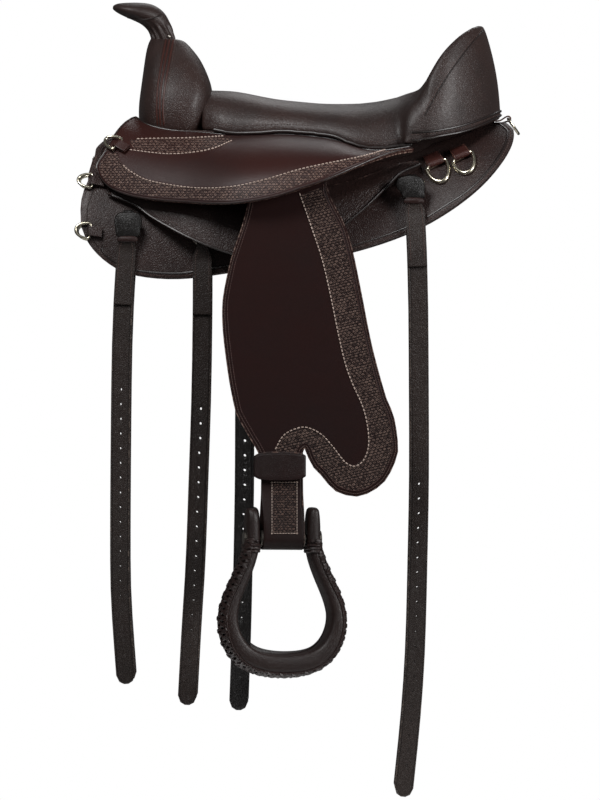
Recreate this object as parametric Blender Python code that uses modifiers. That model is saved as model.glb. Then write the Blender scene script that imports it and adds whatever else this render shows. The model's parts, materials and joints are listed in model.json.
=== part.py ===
"""Treeless riding saddle with a horn, fenders, laced stirrups and girth straps.

Metres, +Z up. The horn points to -X, the horse's left side is -Y, and the
origin is the lowest point of the horse's spine, where the saddle sits.
Heights in the outline tables are measured from a drawing level that lies
DRAWING_LEVEL above that point, and "out" is the distance from the middle plane.
"""
import math

import bmesh
import bpy
from mathutils import Matrix, Vector

MM = 0.001
LEFT = -1
RIGHT = 1
SIDES = ((LEFT, "left"), (RIGHT, "right"))

# Clearances
SEWN_GAP = 0.3 * MM
LAYER_GAP = 1.9 * MM
BED_GAP = 0.8 * MM
BED_LIFT = 1.2 * MM
FLAP_LIFT = 1.1 * MM
CANTLE_GAP = 2.2 * MM

# The horse's back under the saddle
DRAWING_LEVEL = 16 * MM
BACK_HALF_WIDTH = 150 * MM
BACK_DEPTH = 160 * MM
BACK_POWER = 2.2
REAR_FLARE = 16 * MM
FLARE_START = 165 * MM
FLARE_LENGTH = 100 * MM
SPINE_REACH = 275 * MM
SPINE_RISE_FRONT = 15 * MM
SPINE_RISE_REAR = 26 * MM

# Leather thicknesses
PANEL_THICK = 16 * MM
SKIRT_THICK = 4.5 * MM
FLAP_THICK = 7 * MM
JOCKEY_THICK = 5 * MM
JOCKEY_TUCK = 1.3 * MM
FENDER_THICK = 5 * MM
STRAP_THICK = 3.4 * MM
TAB_THICK = 2 * MM
SKIRT_LIFT = PANEL_THICK + LAYER_GAP
SKIRT_OUTER = SKIRT_LIFT + SKIRT_THICK

# Skirt and panel outlines, as shares of the skirt
SKIRT_LENGTH = 583 * MM
SKIRT_DROP = 185 * MM
SKIRT_UPPER_SHARES = (
    (-0.470, 0.66), (-0.445, 0.48), (-0.405, 0.30), (-0.345, 0.15), (-0.200, 0.10),
    (0.000, 0.10), (0.200, 0.10), (0.360, 0.10), (0.440, 0.12), (0.474, 0.30),
)
SKIRT_LOWER_SHARES = (
    (-0.480, -0.270), (-0.494, -0.362), (-0.506, -0.530), (-0.491, -0.719),
    (-0.453, -0.854), (-0.377, -0.973), (-0.319, -1.000), (-0.250, -0.978),
    (-0.163, -0.930), (0.000, -0.865), (0.120, -0.795), (0.245, -0.659),
    (0.288, -0.595), (0.362, -0.449), (0.420, -0.297), (0.461, -0.146),
    (0.488, 0.000), (0.493, 0.097),
)
PANEL_SHARE = 0.955
PANEL_CHANNEL = 27 * MM
PANEL_COLUMNS, PANEL_ROWS = 16, 9
SKIRT_COLUMNS, SKIRT_ROWS = 20, 10

# Padded flap over the girth rigging, as shares of the flap
FLAP_LENGTH = 420 * MM
FLAP_DROP = 163 * MM
FLAP_UPPER_SHARES = (
    (-0.610, -0.415), (-0.571, -0.400), (-0.476, -0.370), (-0.238, -0.370),
    (-0.070, -0.380), (0.071, -0.370), (0.214, -0.270), (0.333, -0.150), (0.378, -0.145),
)
FLAP_LOWER_SHARES = (
    (-0.614, -0.417), (-0.588, -0.466), (-0.524, -0.515), (-0.469, -0.626),
    (-0.364, -0.791), (-0.226, -0.926), (-0.048, -1.000), (0.048, -0.890),
    (0.140, -0.699), (0.217, -0.528), (0.300, -0.310), (0.345, -0.200),
    (0.384, -0.175),
)
FLAP_COLUMNS, FLAP_ROWS = 16, 6
FLAP_BULGE = 28 * MM
FLAP_BULGE_SHARES = (
    (0.0, 0.0), (0.10, 0.10), (0.20, 0.62), (0.26, 0.96), (0.34, 1.00), (0.42, 0.84),
    (0.50, 0.55), (0.62, 0.40), (0.80, 0.15), (1.0, 0.0),
)

# Seat jockey, shares of its length, its drop and its reach out from the middle
JOCKEY_LENGTH = 426 * MM
JOCKEY_DROP = 83 * MM
JOCKEY_OVERHANG = 108 * MM
JOCKEY_REACH = BACK_HALF_WIDTH + JOCKEY_OVERHANG
JOCKEY_COLUMNS, JOCKEY_ROWS = 17, 6
JOCKEY_UPPER_SHARES = (
    (-0.519, 0.410, 0.233), (-0.486, 0.290, 0.318), (-0.434, 0.205, 0.353),
    (-0.376, 0.170, 0.368), (-0.305, 0.155, 0.368), (-0.202, 0.095, 0.384),
    (-0.073, 0.120, 0.422), (0.000, 0.105, 0.450), (0.110, 0.033, 0.504),
    (0.160, -0.075, 0.527), (0.207, -0.150, 0.547), (0.268, -0.150, 0.570),
    (0.347, -0.085, 0.590),
)
JOCKEY_LOWER_SHARES = (
    (-0.641, -0.410, 0.568), (-0.615, -0.690, 0.632), (-0.516, -0.892, 0.730),
    (-0.359, -0.976, 0.850), (-0.228, -1.000, 0.965), (-0.099, -0.916, 1.000),
    (0.000, -0.760, 1.000), (0.094, -0.590, 0.980), (0.214, -0.325, 0.870),
    (0.305, -0.160, 0.725), (0.357, -0.120, 0.615),
)

# Seat bed: plan half width, edge height and crown, from front to rear
BED_LENGTH = 262 * MM
BED_HALF_WIDTH = 142 * MM
BED_EDGE = 35 * MM
BED_CROWN = 21 * MM
BED_THINNEST = 0.6 * MM
BED_STEPS = 12
BED_SHARES = (
    (-0.780, 0.395, 0.514, 0.02), (-0.720, 0.577, 0.514, 0.02), (-0.611, 0.620, 0.514, 0.02),
    (-0.447, 0.634, 0.514, 0.04), (-0.330, 0.655, 0.371, 0.20), (-0.229, 0.683, 0.400, 0.26),
    (-0.118, 0.725, 0.457, 0.28), (0.000, 0.775, 0.429, 0.30), (0.100, 0.830, 0.350, 0.45),
    (0.180, 0.880, 0.257, 0.62), (0.260, 0.930, -0.029, 0.90), (0.336, 0.950, -0.200, 1.00),
    (0.435, 0.940, -0.200, 1.00), (0.571, 0.880, -0.029, 0.95), (0.687, 0.770, 0.257, 0.75),
    (0.824, 0.640, 0.429, 0.55), (0.935, 0.480, 0.657, 0.40), (1.000, 0.280, 0.829, 0.25),
)
BED_UNDERCUT_SHARE = 0.17
BED_NOSE = -150 * MM
BED_NOSE_LENGTH = 50 * MM
BED_NOSE_LIFT = 1.9 * MM
BED_UNDERCUT_LENGTH = 80 * MM

# Seat cushion over the bed
SEAT_FRONT = -116.7 * MM
SEAT_REAR = 149.5 * MM
SEAT_OVERHANG = 5 * MM
SEAT_HEIGHT = 71 * MM
SEAT_TOP_SHARES = (
    (-0.447, 1.000), (-0.330, 0.985), (-0.229, 0.900), (-0.118, 0.815), (0.000, 0.775),
    (0.100, 0.740), (0.180, 0.732), (0.260, 0.735), (0.336, 0.750), (0.435, 0.800),
    (0.571, 0.930),
)
SEAT_SIDE_POWER = 2.6
SEAT_DOME_POWER = 2.2
SEAT_STEPS = 20

# Pommel swell: level, front edge, rear edge and half width, as shares
POMMEL_HEIGHT = 143 * MM
POMMEL_REACH = 217 * MM
POMMEL_HALF_WIDTH = 92 * MM
POMMEL_POWER = 3.2
POMMEL_SHARES = (
    (0.131, -0.977, -0.605, 0.91), (0.185, -0.995, -0.582, 0.97), (0.273, -1.000, -0.562, 1.00),
    (0.385, -0.998, -0.544, 0.99), (0.517, -0.986, -0.541, 0.94), (0.671, -0.972, -0.578, 0.80),
    (0.800, -0.960, -0.620, 0.60), (0.888, -0.950, -0.668, 0.42), (0.951, -0.937, -0.705, 0.28),
    (0.986, -0.925, -0.742, 0.19),
)
POMMEL_SIDES = 24

# Horn: centre, radius in the side view and half width, as shares
HORN_REACH = 253 * MM
HORN_HEIGHT = 190 * MM
HORN_HALF_WIDTH = 31 * MM
HORN_HALF_THICK = 16 * MM
HORN_SHARES = (
    (-0.727, 0.745, 1.00, 0.53), (-0.735, 0.790, 0.96, 0.52), (-0.748, 0.832, 0.95, 0.55),
    (-0.768, 0.878, 1.02, 0.66), (-0.806, 0.915, 1.00, 0.82), (-0.850, 0.932, 0.84, 0.95),
    (-0.900, 0.945, 0.68, 1.00), (-0.945, 0.957, 0.50, 0.88), (-0.975, 0.965, 0.34, 0.66),
    (-0.993, 0.968, 0.14, 0.36),
)
HORN_SIDES = 14

# Cantle: a raised half bowl behind the seat
CANTLE_FRONT = 150 * MM
CANTLE_LENGTH = 119 * MM
CANTLE_HALF_WIDTH = 146 * MM
CANTLE_HEIGHT = 158 * MM
CANTLE_RIM_SHARES = (
    (0.000, 0.272), (0.080, 0.400), (0.151, 0.494), (0.303, 0.722), (0.430, 0.830),
    (0.555, 0.918), (0.680, 0.978), (0.748, 1.000), (0.790, 1.000),
)
CANTLE_RIM_LENGTH_SHARE = 0.79
CANTLE_RIM_WIDTH_SHARE = 0.90
CANTLE_BASE_SHARES = (
    (0.000, -0.006), (0.227, 0.057), (0.555, 0.095), (0.798, 0.146), (1.000, 0.222),
)
CANTLE_ROLL = 9 * MM
CANTLE_ROLL_OUT_SHARE = 0.6
CANTLE_ROLL_TOP_SHARE = 0.1
CANTLE_ROLL_IN_SHARE = 0.9
CANTLE_ROLL_DROP_SHARE = 0.5
CANTLE_BELLY_SHARE = 0.5
CANTLE_STEPS = 16
CANTLE_ROWS = 4

# Fender, shares of its width and drop
FENDER_WIDTH = 200 * MM
FENDER_DROP = 420 * MM
FENDER_FRONT_SHARES = (
    (-0.330, -0.118), (-0.345, -0.180), (-0.372, -0.240), (-0.410, -0.298), (-0.460, -0.369),
    (-0.500, -0.452), (-0.520, -0.519), (-0.515, -0.610), (-0.480, -0.743), (-0.450, -0.819),
    (-0.425, -0.867), (-0.340, -0.940), (-0.283, -0.986), (-0.262, -1.012), (-0.260, -1.038),
)
FENDER_REAR_SHARES = (
    (0.165, -0.118), (0.215, -0.186), (0.300, -0.264), (0.355, -0.350), (0.410, -0.476),
    (0.485, -0.655), (0.580, -0.819), (0.625, -0.867), (0.655, -0.957), (0.645, -1.007),
    (0.570, -1.079), (0.455, -1.119), (0.355, -1.129), (0.230, -1.110), (0.155, -1.069),
    (0.075, -1.028), (0.052, -1.000), (0.044, -0.980), (0.012, -0.978), (0.008, -1.000),
    (0.008, -1.038),
)
FENDER_FRONT_STEPS = 30
FENDER_REAR_STEPS = 42

# Steel stirrup hanger under the jockey
HANGER_PLACE = -24 * MM
HANGER_PIVOT_LEVEL = -8 * MM
HANGER_BAR_LEVEL = -60 * MM
HANGER_BAR_REACH = 64 * MM
HANGER_BAR_OUT = BACK_HALF_WIDTH + HANGER_BAR_REACH
HANGER_THICK = 5 * MM
HANGER_HALF_WIDTH = 39 * MM
HANGER_NECK_SHARE = 0.31
HANGER_KNEE_SHARES = (0.28, 0.60)
HANGER_WAIST_SHARE = 0.6
HANGER_RAIL = 8 * MM
HANGER_SLOT_WIDTH = 60 * MM
HANGER_SLOT_HEIGHT = 15 * MM
HANGER_SLOPE = math.radians(50)

# Stirrup leather
LEG_LEAN = math.radians(2.2)
LEATHER_WIDTH = 56 * MM
LEATHER_THICK = 4 * MM
LEATHER_TWIST = math.radians(12)
LEATHER_TWIST_START = -456 * MM
LEATHER_UPPER_SHARES = (0.03, 0.35, 0.7, 1.0)
LEATHER_LOWER_SHARES = (0.25, 0.5, 0.75, 1.0)
RAIL_STEPS = 6
ROLLER_STEPS = 12
BOLT_LEVEL = -530 * MM
BOLT_DIAMETER = 9 * MM
BOLT_HEAD = 17 * MM
BOLT_HEAD_THICK = 3 * MM
BOLT_SIDES = 12
BOLT_HOLE_SIDES = 16
ROLLER_DIAMETER = 22 * MM
ROLLER_LENGTH = 60 * MM
KEEPER_LEVEL = -433.5 * MM
KEEPER_PLACE = -27 * MM
KEEPER_LENGTH = 70 * MM
KEEPER_WIDTH = 36 * MM
KEEPER_THICK = 2.5 * MM

# Stirrup: half width and level of its middle line, depth and thickness
STIRRUP_HALF_WIDTH = 74 * MM
STIRRUP_DROP = 170 * MM
STIRRUP_DEPTH = 50 * MM
STIRRUP_THICK = 28 * MM
STIRRUP_CHAMFER = 5 * MM
STIRRUP_SHARES = (
    (0.570, 0.238, 0.70, 0.60), (0.560, 0.115, 0.74, 0.60), (0.557, -0.060, 0.76, 0.60),
    (0.600, -0.153, 0.80, 0.62), (0.720, -0.287, 0.84, 0.64), (0.880, -0.431, 0.90, 0.66),
    (0.985, -0.565, 0.95, 0.70), (1.000, -0.688, 1.00, 0.76), (0.900, -0.828, 1.00, 0.85),
    (0.680, -0.940, 1.00, 0.95), (0.360, -0.988, 1.00, 1.00), (0.000, -1.000, 1.00, 1.00),
)

# Girth straps: the ring that carries each, its plane, its end and its bend
STRAP_WIDTH = 25.4 * MM
STRAP_LOOP_WIDTH = 14 * MM
STRAP_PAIR_GAP = 0.3 * MM
STRAP_FOLD_LENGTH = 94 * MM
STRAP_MERGE_LENGTH = 20 * MM
STRAP_EASE_LENGTH = 66 * MM
STRAP_SWAY = 20 * MM
STRAP_TIP_SHARES = (0.03, 0.3, 1.0)
STRAP_FOLD_SHARES = (0.75, 0.40, 0.20, 0.07)
FOLD_STEPS = 6
STRAP_HOLE = 3.2 * MM
STRAP_HOLE_SIDES = 4
STRAP_HOLE_PITCH = 19.8 * MM
STRAP_END_MARGIN = 34 * MM
STRAP_PLAIN_STEP = 70 * MM
STRAP_REACH = 24.2 * MM
STRAP_INNER_PLANE = BACK_HALF_WIDTH + STRAP_REACH
STRAP_PLANE_STEP = 5 * MM

# Rings and dees
RING_RADIUS = 14.5 * MM
RING_WIRE = 5 * MM
DEE_WIRE = 4 * MM
LOOP_CLEARANCE = 2.2 * MM
BAR_CLEARANCE = 0.5 * MM
TAB_WIDTH = 22 * MM
TAB_SHARES = (1.0, 0.5, 0.2, 0.0)
RING_TAB_SHARES = (0.4, 0.7)
RING_STEPS = 15
HIDDEN_RING_STEPS = 10
DEE_STEPS = 9
SURFACE_STEP = 8 * MM
SURFACE_STEP_SHARE = 0.02
OVERRUN = 2 * MM

# Girth rings: place, level, distance out at the lowest wire, and tilt
FRONT_RING_PLACE = -230 * MM
FRONT_RING_DROP = 29 * MM
FRONT_RING_REACH = 28 * MM
FRONT_RING_OUT = BACK_HALF_WIDTH + FRONT_RING_REACH
FRONT_RING_TILT = math.radians(15)
REAR_RING_SHARE = 0.3548
REAR_RING_REACH = 14 * MM
REAR_RING = (REAR_RING_SHARE * FLAP_LENGTH, -60 * MM, BACK_HALF_WIDTH + REAR_RING_REACH,
             math.radians(32))
CENTRE_FRONT_REACH = 35.1 * MM
CENTRE_REAR_REACH = 30.1 * MM
CENTRE_FRONT_RING = (-131 * MM, -122 * MM, BACK_HALF_WIDTH + CENTRE_FRONT_REACH, 0.0)
CENTRE_REAR_RING = (-74 * MM, -122 * MM, BACK_HALF_WIDTH + CENTRE_REAR_REACH, 0.0)
RING_TAB_RISE = 4 * MM
FRONT_TAB_GAP = 1.8 * MM
REAR_TAB_GAP = 2.7 * MM
RIGGING_WEB_THICK = 3 * MM
RIGGING_WEB_LIFT_SHARE = 0.72
RIGGING_WEB_START_SHARE = 0.75
RIGGING_WEB_BEND_SHARE = 1.3


def material(name, colour, roughness, metallic=0.0):
    """Return a plain material with the given colour and surface."""
    made = bpy.data.materials.new(name)
    made.use_nodes = True
    shader = made.node_tree.nodes["Principled BSDF"]
    shader.inputs["Base Color"].default_value = (*colour, 1.0)
    shader.inputs["Roughness"].default_value = roughness
    shader.inputs["Metallic"].default_value = metallic
    return made


def smooth(share):
    """Ease a share from 0 to 1 with level ends."""
    share = min(max(share, 0.0), 1.0)
    return share * share * (3 - 2 * share)


def read_table(table, at):
    """Return the other columns of a table at one value of its first column, on a smooth curve."""
    rows = sorted(table)
    at = min(max(at, rows[0][0]), rows[-1][0])
    place = next(i for i in range(len(rows) - 1) if at <= rows[i + 1][0])
    low, high = rows[place], rows[place + 1]
    before = rows[max(place - 1, 0)]
    after = rows[min(place + 2, len(rows) - 1)]
    span = high[0] - low[0]
    t = (at - low[0]) / span
    values = []
    for column in range(1, len(low)):
        slope_low = (high[column] - before[column]) / (high[0] - before[0])
        slope_high = (after[column] - low[column]) / (after[0] - low[0])
        values.append(
            (2 * t**3 - 3 * t**2 + 1) * low[column]
            + (t**3 - 2 * t**2 + t) * span * slope_low
            + (3 * t**2 - 2 * t**3) * high[column]
            + (t**3 - t**2) * span * slope_high
        )
    return values


def curve_through(points, count, steps=8):
    """Return count points evenly spaced along a smooth curve through the given points."""
    fine = []
    for i in range(len(points) - 1):
        p0 = Vector(points[max(i - 1, 0)])
        p1 = Vector(points[i])
        p2 = Vector(points[i + 1])
        p3 = Vector(points[min(i + 2, len(points) - 1)])
        for step in range(steps):
            t = step / steps
            fine.append(0.5 * (
                2 * p1 + (p2 - p0) * t + (2 * p0 - 5 * p1 + 4 * p2 - p3) * t**2
                + (3 * p1 - p0 - 3 * p2 + p3) * t**3
            ))
    fine.append(Vector(points[-1]))
    lengths = [0.0]
    for a, b in zip(fine, fine[1:]):
        lengths.append(lengths[-1] + (b - a).length)
    result = []
    for i in range(count):
        target = lengths[-1] * i / (count - 1)
        k = next((j for j in range(1, len(fine)) if lengths[j] >= target), len(fine) - 1)
        span = lengths[k] - lengths[k - 1]
        t = (target - lengths[k - 1]) / span if span else 0.0
        result.append(fine[k - 1].lerp(fine[k], t))
    return result


def scaled(shares, *sizes):
    """Turn a table of shares into lengths, one size for each column."""
    return [tuple(share * size for share, size in zip(row, sizes)) for row in shares]


def spine_level(x):
    """Height of the horse's spine at x."""
    rise = SPINE_RISE_FRONT if x < 0 else SPINE_RISE_REAR
    return rise * (x / SPINE_REACH) ** 2


def back_width(x):
    """Half width of the horse's back at x."""
    return BACK_HALF_WIDTH + REAR_FLARE * smooth((x - FLARE_START) / FLARE_LENGTH)


def back_point(x, share, lift):
    """A point over the horse's back: share 0 is the spine, 1 the widest, and more is below it."""
    width = back_width(x)
    angle = min(share, 1.0) * math.pi / 2
    across = math.sin(angle) ** (2 / BACK_POWER)
    down = math.cos(angle) ** (2 / BACK_POWER)
    normal = Vector((
        across ** (BACK_POWER - 1) / width,
        max(down, 0.0) ** (BACK_POWER - 1) / BACK_DEPTH,
    )).normalized()
    out = width * across + lift * normal[0]
    z = spine_level(x) - BACK_DEPTH * (1 - down) + lift * normal[1]
    return out, z - BACK_DEPTH * max(share - 1.0, 0.0)


def share_where(x, lift, column, value):
    """The share at which a point over the back has the given out (column 0) or level (column 1)."""
    low, high = 0.0, 2.5
    for _ in range(40):
        middle = (low + high) / 2
        reached = back_point(x, middle, lift)[column]
        if (reached < value) == (column == 0):
            low = middle
        else:
            high = middle
    return (low + high) / 2


def bed_base_share(x):
    """Width of the underside of the seat bed as a share of its top."""
    return 1 - BED_UNDERCUT_SHARE * smooth(x / BED_UNDERCUT_LENGTH)


def bed_under(x, out):
    """Height of the underside of the seat bed, clear of the skirts."""
    lift = SKIRT_OUTER + BED_LIFT + BED_NOSE_LIFT * smooth((BED_NOSE - x) / BED_NOSE_LENGTH)
    return back_point(x, share_where(x, lift, 0, out), lift)[1]


def bed_sizes(x):
    """Half width, edge level and crown of the seat bed at x, nowhere thinner than BED_THINNEST."""
    width, edge, crown = read_table(BED_SHARES, x / BED_LENGTH)
    width *= BED_HALF_WIDTH
    edge = DRAWING_LEVEL + edge * BED_EDGE
    top = edge + crown * BED_CROWN
    edge = max(edge, bed_under(x, width * bed_base_share(x)) + BED_THINNEST)
    top = max(top, bed_under(x, 0.0) + BED_THINNEST)
    return width, edge, top - edge


def bed_level(x, out):
    """Height of the top of the seat bed."""
    width, edge, crown = bed_sizes(x)
    return edge + crown * max(1 - (out / width) ** 2, 0.0)


for stale in list(bpy.data.objects):
    bpy.data.objects.remove(stale)

parts = bpy.data.collections.new("treeless_saddle")
cutters = bpy.data.collections.new("cutters")


def new_object(name, mesh, finish, collection=None):
    """Put a mesh in a collection as a named object with one material."""
    made = bpy.data.objects.new(name, mesh)
    (collection or parts).objects.link(made)
    if finish:
        mesh.materials.append(finish)
    return made


def mesh_from(name, points, faces, closed=True):
    """Build a mesh from points and faces, with its faces turned outwards."""
    shape = bmesh.new()
    made = [shape.verts.new(p) for p in points]
    for face in faces:
        shape.faces.new([made[i] for i in face])
    if closed:
        bmesh.ops.recalc_face_normals(shape, faces=shape.faces)
    mesh = bpy.data.meshes.new(name)
    shape.to_mesh(mesh)
    shape.free()
    return mesh


def shade(made, degrees=40):
    """Shade an object smooth, with its sharp edges kept."""
    made.data.shade_smooth()
    made.data.set_sharp_from_angle(angle=math.radians(degrees))


def set_pivot(made, pivot):
    """Move an object's origin to its joint without moving its shape."""
    made.data.transform(Matrix.Translation(-Vector(pivot)))
    made.location = Vector(pivot)


def loft(name, rings, finish, collection=None, capped=True):
    """Join rings of points into one closed skin, with a fan at each end."""
    count = len(rings[0])
    points = [p for ring in rings for p in ring]
    faces = []
    for i in range(len(rings) - 1):
        for j in range(count):
            k = (j + 1) % count
            faces.append((i * count + j, i * count + k, (i + 1) * count + k, (i + 1) * count + j))
    if capped:
        for i, ring in ((0, rings[0]), (len(rings) - 1, rings[-1])):
            centre = len(points)
            points.append(sum((Vector(p) for p in ring), Vector()) / count)
            for j in range(count):
                faces.append((i * count + j, i * count + (j + 1) % count, centre))
    made = new_object(name, mesh_from(name, points, faces), finish, collection)
    shade(made)
    return made


def sheet(name, grid, thickness, finish):
    """Thicken an open grid of points, given on its middle surface."""
    rows, columns = len(grid), len(grid[0])
    points = [p for row in grid for p in row]
    faces = [
        (i * columns + j, (i + 1) * columns + j, (i + 1) * columns + j + 1, i * columns + j + 1)
        for i in range(rows - 1)
        for j in range(columns - 1)
    ]
    made = new_object(name, mesh_from(name, points, faces, closed=False), finish)
    shade(made)
    solid = made.modifiers.new("leather", "SOLIDIFY")
    solid.thickness = thickness
    solid.offset = 0.0
    return made


def ribbon(name, stations, thickness, finish, collection=None):
    """A strap through stations of centre, face normal and half width."""
    rings = []
    for i, (centre, normal, half) in enumerate(stations):
        before = Vector(stations[max(i - 1, 0)][0])
        after = Vector(stations[min(i + 1, len(stations) - 1)][0])
        run = (after - before).normalized()
        normal = Vector(normal)
        normal = (normal - run * normal.dot(run)).normalized()
        side = run.cross(normal)
        up = normal * thickness / 2
        across = side * half
        centre = Vector(centre)
        rings.append([centre + across + up, centre - across + up,
                      centre - across - up, centre + across - up])
    made = loft(name, rings, finish, collection)
    shade(made, 30)
    return made


def wire(name, points, diameter, finish, closed=True, steps=1):
    """A bent wire as a mesh, closed on itself or with filled ends."""
    data = bpy.data.curves.new(name, "CURVE")
    data.dimensions = "3D"
    data.bevel_depth = diameter / 2
    data.bevel_resolution = steps
    data.use_fill_caps = not closed
    line = data.splines.new("POLY")
    line.points.add(len(points) - 1)
    for place, point in zip(line.points, points):
        place.co = (*point, 1.0)
    line.use_cyclic_u = closed
    bent = bpy.data.objects.new(name + "_line", data)
    parts.objects.link(bent)
    evaluated = bent.evaluated_get(bpy.context.evaluated_depsgraph_get())
    mesh = bpy.data.meshes.new_from_object(evaluated)
    bpy.data.objects.remove(bent)
    shape = bmesh.new()
    shape.from_mesh(mesh)
    bmesh.ops.remove_doubles(shape, verts=shape.verts, dist=0.1 * SEWN_GAP)
    bmesh.ops.recalc_face_normals(shape, faces=shape.faces)
    shape.to_mesh(mesh)
    shape.free()
    mesh.materials.clear()
    made = new_object(name, mesh, finish)
    shade(made, 60)
    return made


def cylinder(name, centre, along, radius, length, sides, finish, collection=None):
    """A round bar centred on a point, along a direction."""
    shape = bmesh.new()
    bmesh.ops.create_cone(
        shape, cap_ends=True, segments=sides, radius1=radius, radius2=radius, depth=length,
        matrix=Matrix.Translation(centre) @ Vector(along).to_track_quat("Z", "Y").to_matrix().to_4x4(),
    )
    mesh = bpy.data.meshes.new(name)
    shape.to_mesh(mesh)
    shape.free()
    made = new_object(name, mesh, finish, collection)
    shade(made)
    return made


def boolean(made, tool, operation):
    """Cut or join another closed object, which stays hidden."""
    tool.hide_render = True
    tool.display_type = "WIRE"
    change = made.modifiers.new(operation.lower(), "BOOLEAN")
    change.operation = operation
    change.object = tool


def placed(side, x, out, z):
    """A point on one side of the saddle."""
    return Vector((x, side * out, z))


# Materials
grained = material("grained_leather", (0.042, 0.028, 0.024), 0.55)
smooth_leather = material("smooth_leather", (0.040, 0.018, 0.016), 0.38)
strap_leather = material("strap_leather", (0.016, 0.013, 0.011), 0.60)
felt = material("panel_felt", (0.030, 0.026, 0.024), 0.95)
nickel = material("nickel", (0.80, 0.74, 0.62), 0.22, 1.0)
steel = material("steel", (0.35, 0.33, 0.30), 0.35, 1.0)


def draped(name, side, upper, lower, lift, thickness, columns, rows, finish, bulge=None):
    """A sheet that lies over the back between an upper and a lower line of (x, share)."""
    grid = []
    tops = curve_through(upper, columns)
    bottoms = curve_through(lower, columns)
    for i in range(rows):
        v = i / (rows - 1)
        row = []
        for j, (top, bottom) in enumerate(zip(tops, bottoms)):
            place = Vector(top).lerp(Vector(bottom), v)
            more = bulge(j / (columns - 1), v) if bulge else 0.0
            out, z = back_point(place[0], place[1], lift + thickness / 2 + more)
            row.append(placed(side, place[0], out, z))
        grid.append(row)
    return sheet(name, grid, thickness, finish)


def by_level(points, lift):
    """Turn (x, level) into (x, share) on the surface at a lift."""
    return [(x, share_where(x, lift, 1, DRAWING_LEVEL + z)) for x, z in points]


def by_out(points, lift):
    """Turn (x, out) into (x, share) on the surface at a lift."""
    return [(x, share_where(x, lift, 0, out)) for x, out in points]


def top_line(share, channel, lift):
    """The upper edge of a skirt or panel, clear of the channel over the spine."""
    points = scaled(SKIRT_UPPER_SHARES, SKIRT_LENGTH * share, BACK_HALF_WIDTH)
    return by_out([(x, max(out, channel)) for x, out in points], lift)


def make_panels():
    """The felt-covered pads that carry the saddle on each side of the spine."""
    for side, hand in SIDES:
        upper = top_line(PANEL_SHARE, PANEL_CHANNEL, PANEL_THICK)
        lower = by_level(scaled(SKIRT_LOWER_SHARES, SKIRT_LENGTH * PANEL_SHARE,
                                SKIRT_DROP * PANEL_SHARE), PANEL_THICK)
        draped("panel_" + hand, side, upper, lower, 0.0, PANEL_THICK, PANEL_COLUMNS,
               PANEL_ROWS, felt)


def make_skirts():
    """The leather skirts on the panels."""
    for side, hand in SIDES:
        upper = top_line(1.0, SKIRT_CHANNEL, SKIRT_OUTER)
        lower = by_level(scaled(SKIRT_LOWER_SHARES, SKIRT_LENGTH, SKIRT_DROP), SKIRT_OUTER)
        draped("skirt_" + hand, side, upper, lower, SKIRT_LIFT, SKIRT_THICK,
               SKIRT_COLUMNS, SKIRT_ROWS, grained)


def flap_bulge(along, down):
    """How far the flap stands off the skirt over the rigging."""
    return FLAP_BULGE * read_table(FLAP_BULGE_SHARES, along)[0] * smooth(down * 2)


def make_flaps():
    """The padded flaps that cover the middle girth rigging."""
    lift = SKIRT_OUTER + FLAP_LIFT
    for side, hand in SIDES:
        upper = by_level(scaled(FLAP_UPPER_SHARES, FLAP_LENGTH, FLAP_DROP), lift + FLAP_THICK)
        lower = by_level(scaled(FLAP_LOWER_SHARES, FLAP_LENGTH, FLAP_DROP), lift + FLAP_THICK)
        draped("rigging_flap_" + hand, side, upper, lower, lift, FLAP_THICK, FLAP_COLUMNS,
               FLAP_ROWS, grained, flap_bulge)


def jockey_point(side, top, bottom, down):
    """A point of the jockey's bowed section between its upper and its lower edge."""
    angle = down * math.pi / 2
    x = top[0] + (bottom[0] - top[0]) * down
    out = top[2] + (bottom[2] - top[2]) * math.sin(angle)
    z = bottom[1] + (top[1] - bottom[1]) * math.cos(angle)
    out -= JOCKEY_THICK / 2 + JOCKEY_TUCK * (1 - down)
    return placed(side, x, out, DRAWING_LEVEL + z)


def jockey_edges():
    """Points along the upper and the lower edge of the jockey."""
    return [curve_through(scaled(shares, JOCKEY_LENGTH, JOCKEY_DROP, JOCKEY_REACH), JOCKEY_COLUMNS)
            for shares in (JOCKEY_UPPER_SHARES, JOCKEY_LOWER_SHARES)]


def make_jockeys():
    """The bowed seat jockeys that stand out over the fenders."""
    upper, lower = jockey_edges()
    for side, hand in SIDES:
        grid = [
            [jockey_point(side, top, bottom, i / (JOCKEY_ROWS - 1))
             for top, bottom in zip(upper, lower)]
            for i in range(JOCKEY_ROWS)
        ]
        sheet("seat_jockey_" + hand, grid, JOCKEY_THICK, smooth_leather)


def make_seat_bed():
    """The firm bed on the skirts that everything above is fastened to."""
    rings = []
    for row in BED_SHARES:
        x = row[0] * BED_LENGTH
        width = bed_sizes(x)[0]
        outs = [width * (2 * i / BED_STEPS - 1) for i in range(BED_STEPS + 1)]
        top = [Vector((x, y, bed_level(x, abs(y)))) for y in outs]
        base_share = bed_base_share(x)
        under = [Vector((x, y * base_share, bed_under(x, abs(y) * base_share)))
                 for y in reversed(outs)]
        rings.append(top + under)
    loft("seat_bed", rings, grained)


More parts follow.
